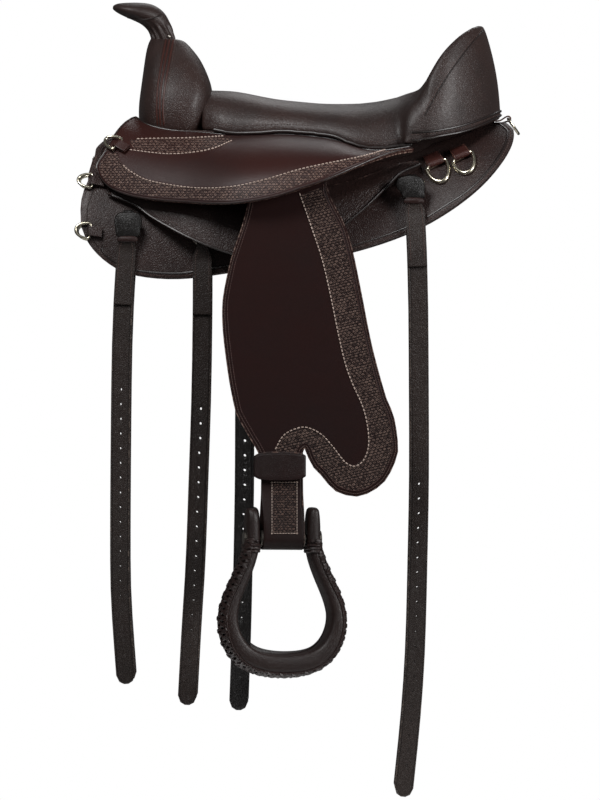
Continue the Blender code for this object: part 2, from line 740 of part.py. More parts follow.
def seat_ring(x):
    """One cross-section of the seat cushion."""
    width, edge, _ = bed_sizes(x)
    width += SEAT_OVERHANG
    top = DRAWING_LEVEL + read_table(SEAT_TOP_SHARES, x / BED_LENGTH)[0] * SEAT_HEIGHT
    crown = []
    for i in range(SEAT_STEPS + 1):
        y = -width * math.cos(math.pi * i / SEAT_STEPS)
        rise = (1 - abs(y / width) ** SEAT_SIDE_POWER) ** (1 / SEAT_DOME_POWER)
        crown.append(Vector((x, y, edge + BED_GAP + (top - edge - BED_GAP) * rise)))
    inner = bed_sizes(x)[0]
    under = []
    for i in range(1, BED_STEPS):
        y = inner * (1 - 2 * i / BED_STEPS)
        under.append(Vector((x, y, bed_level(x, abs(y)) + BED_GAP)))
    return crown + under


def make_seat():
    """The crowned seat cushion."""
    places = [SEAT_FRONT]
    places += [row[0] * BED_LENGTH for row in BED_SHARES
               if SEAT_FRONT < row[0] * BED_LENGTH < SEAT_REAR]
    places.append(SEAT_REAR)
    loft("seat_cushion", [seat_ring(x) for x in places], grained)


def pommel_ring(level, front, rear, width):
    """One level section of the pommel swell."""
    centre = (front + rear) / 2
    half = (rear - front) / 2
    ring = []
    for i in range(POMMEL_SIDES):
        angle = 2 * math.pi * i / POMMEL_SIDES
        c, s = math.cos(angle), math.sin(angle)
        ring.append(Vector((
            centre + half * math.copysign(abs(c) ** (2 / POMMEL_POWER), c),
            width * math.copysign(abs(s) ** (2 / POMMEL_POWER), s),
            DRAWING_LEVEL + level,
        )))
    return ring


def make_pommel():
    """The stuffed pommel swell, and the horn on it."""
    rows = scaled(POMMEL_SHARES, POMMEL_HEIGHT, POMMEL_REACH, POMMEL_REACH, POMMEL_HALF_WIDTH)
    loft("pommel_swell", [pommel_ring(*row) for row in rows], grained)
    rings = []
    places = [
        (Vector((x, 0.0, DRAWING_LEVEL + z)), thick, width)
        for x, z, thick, width in scaled(
            HORN_SHARES, HORN_REACH, HORN_HEIGHT, HORN_HALF_THICK, HORN_HALF_WIDTH)
    ]
    for i, (centre, thick, width) in enumerate(places):
        run = places[min(i + 1, len(places) - 1)][0] - places[max(i - 1, 0)][0]
        if i == 0:
            run = Vector((0.0, 0.0, 1.0))
        across = run.normalized().cross(Vector((0.0, 1.0, 0.0)))
        rings.append([
            centre + across * thick * math.cos(2 * math.pi * j / HORN_SIDES)
            + Vector((0.0, width * math.sin(2 * math.pi * j / HORN_SIDES), 0.0))
            for j in range(HORN_SIDES)
        ])
    loft("horn", rings, grained)


def cantle_section(angle):
    """One upright section of the cantle, from its outer base over the rim to the seat."""
    c, s = math.cos(angle), math.sin(angle)
    rim_along = CANTLE_RIM_LENGTH_SHARE * c
    rim_x = CANTLE_FRONT + CANTLE_LENGTH * rim_along
    rim_y = CANTLE_HALF_WIDTH * CANTLE_RIM_WIDTH_SHARE * s
    rim_z = DRAWING_LEVEL + read_table(CANTLE_RIM_SHARES, rim_along)[0] * CANTLE_HEIGHT
    base_x = CANTLE_FRONT + CANTLE_LENGTH * c
    base_y = CANTLE_HALF_WIDTH * s
    base_z = DRAWING_LEVEL + read_table(CANTLE_BASE_SHARES, c)[0] * CANTLE_HEIGHT
    outward = Vector((rim_x - CANTLE_FRONT, rim_y, 0.0)).normalized()
    base = Vector((base_x, base_y, base_z))
    rim = Vector((rim_x, rim_y, rim_z))
    shoulder = rim - Vector((0, 0, CANTLE_ROLL)) + outward * CANTLE_ROLL * CANTLE_ROLL_OUT_SHARE
    section = []
    for t in [i / CANTLE_ROWS for i in range(CANTLE_ROWS + 1)]:
        belly = outward * CANTLE_ROLL * CANTLE_BELLY_SHARE * math.sin(math.pi * t)
        section.append(base.lerp(shoulder, t) + belly)
    section.append(rim + outward * CANTLE_ROLL * CANTLE_ROLL_TOP_SHARE)
    section.append(rim - outward * CANTLE_ROLL * CANTLE_ROLL_IN_SHARE
                   - Vector((0, 0, CANTLE_ROLL * CANTLE_ROLL_DROP_SHARE)))
    floor = DRAWING_LEVEL + read_table(SEAT_TOP_SHARES, CANTLE_FRONT / BED_LENGTH)[0] * SEAT_HEIGHT
    inner = section[-1]
    centre = Vector((CANTLE_FRONT, 0.0, floor))
    for t in [i / CANTLE_ROWS for i in range(1, CANTLE_ROWS + 1)]:
        place = inner.lerp(centre, t)
        place.z = floor + (inner.z - floor) * (1 - t) ** 2
        section.append(place)
    section.append(Vector((CANTLE_FRONT, 0.0, bed_level(CANTLE_FRONT, 0.0) + CANTLE_GAP)))
    for t in [i / CANTLE_ROWS for i in range(1, CANTLE_ROWS)]:
        x = CANTLE_FRONT + (base_x - CANTLE_FRONT) * t
        y = base_y * t
        section.append(Vector((x, y, bed_level(x, abs(y)) + CANTLE_GAP)))
    return section


def make_cantle():
    """The cantle and the cover on its back."""
    sections = [cantle_section(math.pi * (i / CANTLE_STEPS - 0.5)) for i in range(CANTLE_STEPS + 1)]
    made = loft("cantle", sections, grained)
    shape = bmesh.new()
    shape.from_mesh(made.data)
    bmesh.ops.remove_doubles(shape, verts=shape.verts, dist=0.1 * SEWN_GAP)
    bmesh.ops.recalc_face_normals(shape, faces=shape.faces)
    shape.to_mesh(made.data)
    shape.free()


def closed_ribbon(name, stations, thickness, finish, twist=None):
    """A strap through stations that comes back to its start."""
    count = len(stations)
    rings = []
    for i, (centre, normal, half) in enumerate(stations):
        run = (Vector(stations[(i + 1) % count][0]) - Vector(stations[i - 1][0])).normalized()
        normal = Vector(normal)
        normal = (normal - run * normal.dot(run)).normalized()
        across = run.cross(normal) * half
        up = normal * thickness / 2
        centre = Vector(centre)
        ring = [centre + across + up, centre - across + up,
                centre - across - up, centre + across - up]
        rings.append([twist(p) for p in ring] if twist else ring)
    points = [p for ring in rings for p in ring]
    faces = []
    for i in range(count):
        for j in range(4):
            k = (j + 1) % 4
            n = (i + 1) % count
            faces.append((i * 4 + j, i * 4 + k, n * 4 + k, n * 4 + j))
    made = new_object(name, mesh_from(name, points, faces), finish)
    shade(made, 30)
    return made


def folded_tab(name, path, radius, width, thickness, finish, side_run, collection=None):
    """A strip that runs along a path to a wire, round it, and back again."""
    path = [Vector(p) for p in path]
    away = (path[-1] - path[-2]).normalized()
    side_run = Vector(side_run).normalized()
    up = side_run.cross(away).normalized()
    pair = (thickness + STRAP_PAIR_GAP) / 2
    stations = []
    outward = []
    for i, place in enumerate(path):
        run = path[min(i + 1, len(path) - 1)] - path[max(i - 1, 0)]
        normal = side_run.cross(run).normalized()
        spread = pair + (radius - pair) * smooth(i / (len(path) - 1))
        outward.append((place, normal, spread))
    for place, normal, spread in outward:
        stations.append((place + normal * spread, normal, width / 2))
    for step in range(1, FOLD_STEPS):
        angle = math.pi * step / FOLD_STEPS
        normal = up * math.cos(angle) + away * math.sin(angle)
        stations.append((path[-1] + normal * radius, normal, width / 2))
    for place, normal, spread in reversed(outward):
        stations.append((place - normal * spread, -normal, width / 2))
    return ribbon(name, stations, thickness, finish, collection)


def strap_middle(plane):
    """Distance out of the middle of a doubled strap in one of the hanging planes."""
    return STRAP_INNER_PLANE + plane * STRAP_PLANE_STEP + STRAP_THICK + STRAP_PAIR_GAP / 2


def make_strap(name, side, ring, plane, end_level, first_hole, bend):
    """One girth strap: doubled round its ring, then single down to a round punched end."""
    x_ring, ring_level, ring_out, tilt = ring
    middle = strap_middle(plane)
    rise = RING_RADIUS - math.sqrt(RING_RADIUS**2 - (STRAP_LOOP_WIDTH / 2) ** 2)
    top = ring_level - (RING_RADIUS - rise / 2) * math.cos(tilt)
    radius = RING_WIRE / 2 + LOOP_CLEARANCE + STRAP_THICK / 2
    pair = (STRAP_THICK + STRAP_PAIR_GAP) / 2
    length = ring_level - end_level
    tip = STRAP_WIDTH / 2

    def strap_out(level):
        return ring_out + (middle - ring_out) * smooth((top - level) / STRAP_EASE_LENGTH)

    def spread(level):
        return radius + (pair - radius) * smooth((top - level) / STRAP_MERGE_LENGTH)

    def place(level, face):
        offset = read_table(bend, (ring_level - level) / length)[0] * STRAP_SWAY
        return placed(side, x_ring + offset, strap_out(level) + face * spread(level),
                      DRAWING_LEVEL + level)

    def half_width(level):
        narrow = smooth(1 - (top - level) / STRAP_MERGE_LENGTH)
        return (STRAP_WIDTH + (STRAP_LOOP_WIDTH - STRAP_WIDTH) * narrow) / 2

    outward = placed(side, 0, 1, 0)

    def station(level, face):
        return place(level, face), outward * face, half_width(level)

    stations = [(place(end_level + tip * share, -1), -outward, tip * math.sin(math.acos(1 - share)))
                for share in STRAP_TIP_SHARES]
    fold_end = top - STRAP_FOLD_LENGTH
    holes = []
    level = first_hole
    while level > end_level + STRAP_END_MARGIN:
        holes.append(level)
        level -= STRAP_HOLE_PITCH
    stations += [station(level - STRAP_HOLE_PITCH / 2, -1) for level in reversed(holes[1::2])]
    punched = first_hole + STRAP_HOLE_PITCH / 2
    steps = math.ceil((fold_end - punched) / STRAP_PLAIN_STEP)
    stations += [station(punched + (fold_end - punched) * i / steps, -1) for i in range(steps + 1)]
    near = [top - STRAP_FOLD_LENGTH * share for share in STRAP_FOLD_SHARES]
    stations += [station(level, -1) for level in near]
    for step in range(FOLD_STEPS + 1):
        angle = math.pi * step / FOLD_STEPS
        normal = outward * -math.cos(angle) + Vector((0, 0, math.sin(angle)))
        centre = placed(side, x_ring, ring_out, DRAWING_LEVEL + top)
        stations.append((centre + normal * radius, normal, STRAP_LOOP_WIDTH / 2))
    stations += [station(level, 1) for level in reversed(near)]
    stations.append(station(fold_end, 1))
    made = ribbon(name, stations, STRAP_THICK, strap_leather)
    cutter = bmesh.new()
    turn = Matrix.Rotation(math.pi / 2, 4, "X")
    for level in holes:
        centre = place(level, -1)
        bmesh.ops.create_cone(
            cutter, cap_ends=True, segments=STRAP_HOLE_SIDES, radius1=STRAP_HOLE / 2,
            radius2=STRAP_HOLE / 2, depth=STRAP_THICK + OVERRUN,
            matrix=Matrix.Translation(centre) @ turn)
    mesh = bpy.data.meshes.new(name + "_holes")
    cutter.to_mesh(mesh)
    cutter.free()
    boolean(made, new_object(name + "_holes", mesh, None, cutters), "DIFFERENCE")
    centre_out = ring_out - RING_RADIUS * math.sin(tilt)
    set_pivot(made, placed(side, x_ring, centre_out, DRAWING_LEVEL + ring_level))
    return made


FLAP_EDGE_SHARE = read_table(FLAP_LOWER_SHARES, FRONT_RING_PLACE / FLAP_LENGTH)[0]
FRONT_RING_LEVEL = FLAP_EDGE_SHARE * FLAP_DROP - FRONT_RING_DROP
FRONT_RING = (FRONT_RING_PLACE, FRONT_RING_LEVEL, FRONT_RING_OUT, FRONT_RING_TILT)
STRAPS = (
    ("front", FRONT_RING, 0, -725 * MM, -330 * MM,
     ((0.0, 0.0), (0.04, -0.10), (0.15, -0.32), (0.25, -0.45), (0.42, -0.53), (0.73, -0.58),
      (0.83, -0.50), (1.0, -0.13))),
    ("centre_front", CENTRE_FRONT_RING, 2, -753 * MM, -356 * MM,
     ((0.0, 0.0), (0.15, 0.0), (0.33, -0.08), (0.50, -0.25), (0.70, -0.48), (0.84, -0.75),
      (1.0, -1.02))),
    ("centre_rear", CENTRE_REAR_RING, 1, -760 * MM, -399 * MM,
     ((0.0, 0.0), (0.44, -0.02), (0.56, -0.05), (0.82, -0.22), (0.91, -0.32), (1.0, -0.42))),
    ("rear", REAR_RING, 0, -876 * MM, -457 * MM,
     ((0.0, 0.0), (0.05, 0.30), (0.18, 0.49), (0.29, 0.53), (0.47, 0.55), (0.61, 0.45),
      (0.76, 0.28), (0.87, -0.02), (1.0, -0.56))),
)


def make_straps():
    """The eight girth straps."""
    for side, hand in SIDES:
        for name, ring, plane, end_level, first_hole, bend in STRAPS:
            make_strap(f"{name}_girth_strap_{hand}", side, ring, plane, end_level, first_hole,
                       bend)


def circle(centre, across, down, radius, steps=RING_STEPS):
    """Points of a round ring in the plane of two directions."""
    return [centre + across * radius * math.cos(2 * math.pi * i / steps)
            + down * radius * math.sin(2 * math.pi * i / steps) for i in range(steps)]


def ring_frame(side, ring):
    """Centre of a tilted girth ring and the direction down its face."""
    x, level, out, tilt = ring
    down = placed(side, 0, math.sin(tilt), -math.cos(tilt))
    lowest = placed(side, x, out, DRAWING_LEVEL + level - RING_RADIUS * math.cos(tilt))
    return lowest - down * RING_RADIUS, down


def make_girth_rings():
    """The round rings of the outer straps, each in a folded tab from under the flap."""
    for side, hand in SIDES:
        for name, ring, tab_gap in (("front", FRONT_RING, FRONT_TAB_GAP),
                                    ("rear", REAR_RING, REAR_TAB_GAP)):
            lift = SKIRT_OUTER + tab_gap
            centre, down = ring_frame(side, ring)
            made = wire(f"{name}_girth_ring_{hand}",
                        circle(centre, Vector((1, 0, 0)), down, RING_RADIUS),
                        RING_WIRE, nickel)
            rise = RING_RADIUS - math.sqrt(RING_RADIUS**2 - (STRAP_LOOP_WIDTH / 2) ** 2)
            hold = centre - down * (RING_RADIUS - rise / 2)
            set_pivot(made, centre - down * RING_RADIUS)
            radius = RING_WIRE / 2 + LOOP_CLEARANCE + TAB_THICK / 2
            start_z = hold.z + RING_TAB_RISE
            share = share_where(ring[0], lift, 1, start_z)
            start_out = back_point(ring[0], share, lift)[0]
            start = placed(side, ring[0], start_out, start_z)
            path = [start, *(start.lerp(hold, share) for share in RING_TAB_SHARES), hold]
            folded_tab(f"{name}_girth_tab_{hand}", path, radius, STRAP_LOOP_WIDTH, TAB_THICK,
                       strap_leather, (1, 0, 0))


def make_centre_rigging():
    """Two rings and the web that holds them, hidden under the flap."""
    across = Vector((1, 0, 0))
    for side, hand in SIDES:
        front, down = ring_frame(side, CENTRE_FRONT_RING)
        rear, _ = ring_frame(side, CENTRE_REAR_RING)
        made = wire("centre_rigging_" + hand, circle(front, across, down, RING_RADIUS,
                                                     HIDDEN_RING_STEPS), RING_WIRE, steel)
        other = wire("centre_ring_tool_" + hand, circle(rear, across, down, RING_RADIUS,
                                                        HIDDEN_RING_STEPS), RING_WIRE, steel)
        parts.objects.unlink(other)
        cutters.objects.link(other)
        boolean(made, other, "UNION")
        middle = (front + rear) / 2
        half = (rear.x - front.x) / 2 + RING_RADIUS
        lift = SKIRT_OUTER + RIGGING_WEB_LIFT_SHARE * RIGGING_WEB_THICK
        start_z = middle.z + 2 * RING_RADIUS
        share = share_where(middle.x, lift, 1, start_z)
        start_out = back_point(middle.x, share, lift)[0]
        upright = placed(side, 0, 1, 0)
        web = [
            (middle + Vector((0, 0, RIGGING_WEB_START_SHARE * RING_RADIUS)), upright, half),
            (middle + Vector((0, 0, RIGGING_WEB_BEND_SHARE * RING_RADIUS)), upright, half),
            (placed(side, middle.x, start_out, start_z), placed(side, 0, 1, 1), half),
        ]
        tool = ribbon("centre_web_tool_" + hand, web, RIGGING_WEB_THICK, steel, cutters)
        boolean(made, tool, "UNION")


def dee(name, bar, across, down, width, drop):
    """A dee with a straight bar and a round bow, hinged about its bar."""
    half = width / 2
    corner = DEE_WIRE
    points = [bar - across * half, bar, bar + across * half]
    for i in range(DEE_STEPS + 1):
        angle = math.pi * i / DEE_STEPS
        points.append(bar + across * half * math.cos(angle)
                      + down * (corner + (drop - corner) * math.sin(angle)))
    made = wire(name, points, DEE_WIRE, nickel)
    set_pivot(made, bar)
    return made


def surface_frame(side, x, level, lift, turn):
    """A point over the skirt with its across, down and outward directions."""
    def spot(x, share):
        return placed(side, x, *back_point(x, share, lift))

    share = share_where(x, lift, 1, DRAWING_LEVEL + level)
    ahead = (spot(x + SURFACE_STEP, share) - spot(x - SURFACE_STEP, share)).normalized()
    down = spot(x, share + SURFACE_STEP_SHARE) - spot(x, share - SURFACE_STEP_SHARE)
    down = (down - ahead * down.dot(ahead)).normalized()
    outward = side * ahead.cross(down)
    across = ahead * math.cos(turn) - down * math.sin(turn)
    down = down * math.cos(turn) + ahead * math.sin(turn)
    return spot(x, share), across, down, outward


FLAP_END_SHARE = 0.384
REAR_DEE_CLEARANCE = 20.7 * MM
REAR_DEE_SPACING = 35 * MM
REAR_DEE_PLACE = FLAP_END_SHARE * FLAP_LENGTH + REAR_DEE_CLEARANCE
REAR_DEES = (
    ("a", REAR_DEE_PLACE, -26 * MM, 1.4 * MM),
    ("b", REAR_DEE_PLACE + REAR_DEE_SPACING, -16 * MM, 0.9 * MM),
)
REAR_DEE_WIDTH = 29 * MM
REAR_DEE_DROP = 28 * MM
REAR_DEE_TURN = math.radians(20)
REAR_TAB_LENGTH = 20 * MM


def make_rear_dees():
    """Two saddle-string dees on each side below the cantle."""
    radius = DEE_WIRE / 2 + BAR_CLEARANCE + TAB_THICK / 2
    for side, hand in SIDES:
        for mark, x, level, gap in REAR_DEES:
            lift = SKIRT_OUTER + gap + TAB_THICK / 2 + radius
            bar, across, down, outward = surface_frame(side, x, level, lift, REAR_DEE_TURN)
            dee(f"rear_dee_{mark}_{hand}", bar, across, down, REAR_DEE_WIDTH, REAR_DEE_DROP)
            path = [bar - down * REAR_TAB_LENGTH * share for share in TAB_SHARES]
            lower = radius - (TAB_THICK + STRAP_PAIR_GAP) / 2
            last = len(path) - 1
            path = [p - outward * lower * (1 - smooth(i / last)) for i, p in enumerate(path)]
            folded_tab(f"rear_dee_tab_{mark}_{hand}", path, radius, TAB_WIDTH, TAB_THICK,
                       smooth_leather, across)


FRONT_DEES = (("middle", -278 * MM, -51 * MM), ("lower", -281 * MM, -118 * MM))
FRONT_DEE_DROP = 20 * MM
FRONT_DEE_WIDTH = 21 * MM
FRONT_TAB_WIDTH = 13 * MM
FRONT_TAB_LENGTH = 16 * MM
JOCKEY_DEE_COLUMN = 0.8
JOCKEY_DEE_SHARE = 0.60
JOCKEY_DEE_DROP = 22 * MM
JOCKEY_STEP_SHARE = 0.05
DEE_TAB_LEVEL_SHARE = 0.25


def jockey_frame(side, column, down, lift):
    """A point over the jockey with its inward, down and outward directions."""
    outlines = jockey_edges()

    def spot(place, share):
        first = int(place)
        ends = [Vector(line[first]).lerp(Vector(line[first + 1]), place - first)
                for line in outlines]
        return jockey_point(side, ends[0], ends[1], share)

    inward = (spot(column + 1, down) - spot(column, down)).normalized()
    below = spot(column, down + JOCKEY_STEP_SHARE) - spot(column, down - JOCKEY_STEP_SHARE)
    below = (below - inward * below.dot(inward)).normalized()
    outward = side * inward.cross(below)
    return spot(column, down) + outward * lift, inward, below, outward


def front_dee(mark, hand, bar, inward, down, drop, sheet_name):
    """A dee that points forward, and its tab sewn to the sheet behind it."""
    radius = DEE_WIRE / 2 + BAR_CLEARANCE + TAB_THICK / 2
    dee(f"front_{mark}_dee_{hand}", bar, down, -inward, FRONT_DEE_WIDTH, drop)
    path = [bar + inward * FRONT_TAB_LENGTH * share for share in TAB_SHARES]
    tab = folded_tab(f"front_{mark}_tab_{hand}", path, radius, FRONT_TAB_WIDTH, TAB_THICK,
                     smooth_leather, down, cutters)
    boolean(parts.objects[sheet_name], tab, "UNION")


def make_front_dees():
    """Breast-collar dees on the front edge of each skirt and of each jockey."""
    lift = DEE_WIRE / 2 + BAR_CLEARANCE + TAB_THICK * (1 / 2 + DEE_TAB_LEVEL_SHARE)
    for side, hand in SIDES:
        bar, inward, down, _ = jockey_frame(side, JOCKEY_DEE_COLUMN, JOCKEY_DEE_SHARE,
                                            JOCKEY_THICK / 2 + lift)
        front_dee("upper", hand, bar, inward, down, JOCKEY_DEE_DROP, "seat_jockey_" + hand)
        for mark, x, level in FRONT_DEES:
            bar, inward, down, _ = surface_frame(side, x, level, SKIRT_OUTER + lift, 0.0)
            front_dee(mark, hand, bar, inward, down, FRONT_DEE_DROP, "skirt_" + hand)


CRUPPER_BAR_REACH = 18 * MM
CRUPPER_START_REACH = 0.7 * MM
CRUPPER_BAR = (BED_LENGTH + CRUPPER_BAR_REACH, 50 * MM)
CRUPPER_START = (BED_LENGTH + CRUPPER_START_REACH, 45.5 * MM)
CRUPPER_TAB_SHARES = (0.45, 0.8)
CRUPPER_WIDTH = 30 * MM
CRUPPER_DROP = 25 * MM
CRUPPER_ANGLE = math.radians(35)
CRUPPER_SIDE_CLEARANCE = 2 * MM
SKIRT_CHANNEL = (CRUPPER_WIDTH + DEE_WIRE) / 2 + CRUPPER_SIDE_CLEARANCE


def make_crupper():
    """The crupper dee behind the cantle and its tab."""
    radius = DEE_WIRE / 2 + BAR_CLEARANCE + TAB_THICK / 2
    bar = Vector((CRUPPER_BAR[0], 0, CRUPPER_BAR[1]))
    down = Vector((math.sin(CRUPPER_ANGLE), 0, -math.cos(CRUPPER_ANGLE)))
    dee("crupper_dee", bar, Vector((0, 1, 0)), down, CRUPPER_WIDTH, CRUPPER_DROP)
    start = Vector((CRUPPER_START[0], 0, CRUPPER_START[1]))
    first, last = [start.lerp(bar, share) for share in CRUPPER_TAB_SHARES]
    path = [start, first - Vector((0, 0, TAB_THICK)), last, bar]
    folded_tab("crupper_tab", path, radius, TAB_WIDTH, TAB_THICK, strap_leather, (0, 1, 0))


def make_hangers():
    """The steel hangers that carry the stirrup leathers on a slotted rail."""
    x = HANGER_PLACE
    wall = bed_sizes(x + HANGER_HALF_WIDTH * HANGER_NECK_SHARE)[0]
    slope = (math.cos(HANGER_SLOPE), -math.sin(HANGER_SLOPE))
    for side, hand in SIDES:
        def spot(out, level):
            return placed(side, x, out, DRAWING_LEVEL + level)

        reach = HANGER_BAR_OUT - wall
        rail = (HANGER_BAR_OUT, HANGER_BAR_LEVEL)
        straight = 2 * HANGER_SLOT_HEIGHT
        knee = (rail[0] - slope[0] * straight, rail[1] - slope[1] * straight)
        end = (rail[0] + slope[0] * HANGER_RAIL / 2, rail[1] + slope[1] * HANGER_RAIL / 2)
        neck = HANGER_HALF_WIDTH * HANGER_NECK_SHARE
        start = wall + BED_GAP
        middle_level = HANGER_PIVOT_LEVEL - 2 * HANGER_THICK
        up = placed(side, 0, 0, 1)
        stations = [
            (spot(start, HANGER_PIVOT_LEVEL), up, neck),
            (spot(wall + HANGER_KNEE_SHARES[0] * reach, HANGER_PIVOT_LEVEL - HANGER_THICK / 2),
             up, neck),
            (spot(wall + HANGER_KNEE_SHARES[1] * reach, middle_level - HANGER_THICK), up,
             HANGER_WAIST_SHARE * HANGER_HALF_WIDTH),
            (spot(*knee), placed(side, 0, 1, 1), HANGER_HALF_WIDTH),
            (spot(*rail), placed(side, 0, 1, 1), HANGER_HALF_WIDTH),
            (spot(*end), placed(side, 0, 1, 1), HANGER_HALF_WIDTH),
        ]
        made = ribbon("stirrup_hanger_" + hand, stations, HANGER_THICK, steel)
        above = HANGER_RAIL / 2 + HANGER_SLOT_HEIGHT / 2
        centre = spot(rail[0] - slope[0] * above, rail[1] - slope[1] * above)
        along = placed(side, 0, slope[0], slope[1])
        through = placed(side, 0, -slope[1], slope[0])
        slot = [(centre - through * (HANGER_THICK + OVERRUN), along, HANGER_SLOT_WIDTH / 2),
                (centre + through * (HANGER_THICK + OVERRUN), along, HANGER_SLOT_WIDTH / 2)]
        tool = ribbon("hanger_slot_" + hand, slot, HANGER_SLOT_HEIGHT, None, cutters)
        boolean(made, tool, "DIFFERENCE")
        set_pivot(made, spot(start, HANGER_PIVOT_LEVEL))


def flat_plate(name, outline, y_low, y_high, finish):
    """A plate with a flat outline in the x and z directions."""
    count = len(outline)
    points = [Vector((x, y_low, z)) for x, z in outline]
    points += [Vector((x, y_high, z)) for x, z in outline]
    faces = [tuple(range(count)), tuple(range(2 * count - 1, count - 1, -1))]
    for i in range(count):
        k = (i + 1) % count
        faces.append((i, k, count + k, count + i))
    made = new_object(name, mesh_from(name, points, faces), finish)
    shade(made)
    return made


RUN_TOP = HANGER_RAIL / 2 + HANGER_THICK / 4 + LEATHER_THICK / 2
RUN_LOW = ROLLER_DIAMETER / 2 + SEWN_GAP + LEATHER_THICK / 2
BOLT_DROP = BOLT_LEVEL - HANGER_BAR_LEVEL
TWIST_START = LEATHER_TWIST_START - HANGER_BAR_LEVEL
TWIST_END = BOLT_DROP + RUN_LOW + LEATHER_THICK
FENDER_IN = RUN_TOP + LEATHER_THICK / 2 + SEWN_GAP
STIRRUP_ARM = STIRRUP_SHARES[1][0] * STIRRUP_HALF_WIDTH + STIRRUP_SHARES[1][3] * STIRRUP_THICK / 2


def twist_at(level):
    """Share of the leather's quarter turn that is reached at a level below the rail."""
    return smooth((TWIST_START - level) / (TWIST_START - TWIST_END))


def make_fender(side, hand, pivot):
    """The fender in front of the stirrup leather."""
    sizes = (FENDER_WIDTH, FENDER_DROP)
    front = curve_through(scaled(FENDER_FRONT_SHARES, *sizes), FENDER_FRONT_STEPS)
    rear = curve_through(scaled(FENDER_REAR_SHARES, *sizes), FENDER_REAR_STEPS)
    outline = [(p[0] - HANGER_PLACE, p[1] - HANGER_BAR_LEVEL) for p in front + rear[::-1]]
    made = flat_plate("fender_" + hand, outline, side * FENDER_IN,
                      side * (FENDER_IN + FENDER_THICK), smooth_leather)
    made.parent = pivot


def make_leather(side, hand, pivot, turn):
    """The stirrup leather, one loop from the rail to the bolt and back."""
    def twisted(point):
        return Matrix.Rotation(turn * twist_at(point.z), 3, "Z") @ point

    def run(level):
        return RUN_TOP + (RUN_LOW - RUN_TOP) * twist_at(level)

    half = LEATHER_WIDTH / 2
    stations = []
    for step in range(RAIL_STEPS + 1):
        angle = math.pi * step / RAIL_STEPS
        normal = placed(side, 0, -math.cos(angle), math.sin(angle))
        stations.append((normal * RUN_TOP, normal, half))
    levels = [TWIST_START * share for share in LEATHER_UPPER_SHARES]
    levels += [TWIST_START + (TWIST_END - TWIST_START) * share for share in LEATHER_LOWER_SHARES]
    for level in levels:
        stations.append((placed(side, 0, run(level), level), placed(side, 0, 1, 0), half))
    for step in range(ROLLER_STEPS + 1):
        angle = math.pi * step / ROLLER_STEPS
        normal = placed(side, 0, math.cos(angle), -math.sin(angle))
        stations.append((Vector((0, 0, BOLT_DROP)) + normal * RUN_LOW, normal, half))
    for level in reversed(levels):
        stations.append((placed(side, 0, -run(level), level), placed(side, 0, -1, 0), half))
    made = closed_ribbon("stirrup_leather_" + hand, stations, LEATHER_THICK, smooth_leather,
                         twisted)
    made.parent = pivot


def on_bolt(made, pivot, turn):
    """Hang an object built round the bolt's centre on the leg."""
    made.parent = pivot
    made.location.z = BOLT_DROP
    made.rotation_euler.z = turn


def make_bolt(hand, pivot, turn):
    """The bolt with its heads and roller, turned about its axis."""
    outer = STIRRUP_ARM + SEWN_GAP
    profile = (
        (outer + BOLT_HEAD_THICK, BOLT_HEAD / 2), (outer, BOLT_HEAD / 2),
        (outer, BOLT_DIAMETER / 2), (ROLLER_LENGTH / 2, BOLT_DIAMETER / 2),
        (ROLLER_LENGTH / 2, ROLLER_DIAMETER / 2),
    )
    profile = [(-x, r) for x, r in profile] + list(profile[::-1])
    angles = [2 * math.pi * j / BOLT_SIDES for j in range(BOLT_SIDES)]
    rings = [[Vector((x, r * math.cos(angle), r * math.sin(angle))) for angle in angles]
             for x, r in profile]
    on_bolt(loft("stirrup_bolt_" + hand, rings, steel), pivot, turn)


def make_stirrup(hand, pivot, turn):
    """The stirrup, lofted round its bow from one arm to the other."""
    rows = scaled(STIRRUP_SHARES, STIRRUP_HALF_WIDTH, STIRRUP_DROP, STIRRUP_DEPTH, STIRRUP_THICK)
    rows = [(-x, z, depth, thick) for x, z, depth, thick in rows] + rows[-2::-1]
    chamfer = STIRRUP_CHAMFER
    rings = []
    for i, (x, z, depth, thick) in enumerate(rows):
        before = rows[max(i - 1, 0)]
        after = rows[min(i + 1, len(rows) - 1)]
        along = Vector((after[0] - before[0], 0, after[1] - before[1])).normalized()
        inward = Vector((-along.z, 0, along.x))
        a, b = thick / 2, depth / 2
        corners = ((a, b - chamfer), (a - chamfer, b), (chamfer - a, b), (-a, b - chamfer),
                   (-a, chamfer - b), (chamfer - a, -b), (a - chamfer, -b), (a, chamfer - b))
        rings.append([Vector((x, 0, z)) + inward * u + Vector((0, v, 0)) for u, v in corners])
    made = loft("stirrup_" + hand, rings, smooth_leather)
    hole = cylinder("stirrup_hole_" + hand, (0, 0, 0), (1, 0, 0), BOLT_DIAMETER / 2 + SEWN_GAP,
                    2 * (STIRRUP_ARM + SEWN_GAP) + OVERRUN, BOLT_HOLE_SIDES, None, cutters)
    boolean(made, hole, "DIFFERENCE")
    on_bolt(made, pivot, turn)
    on_bolt(hole, pivot, turn)


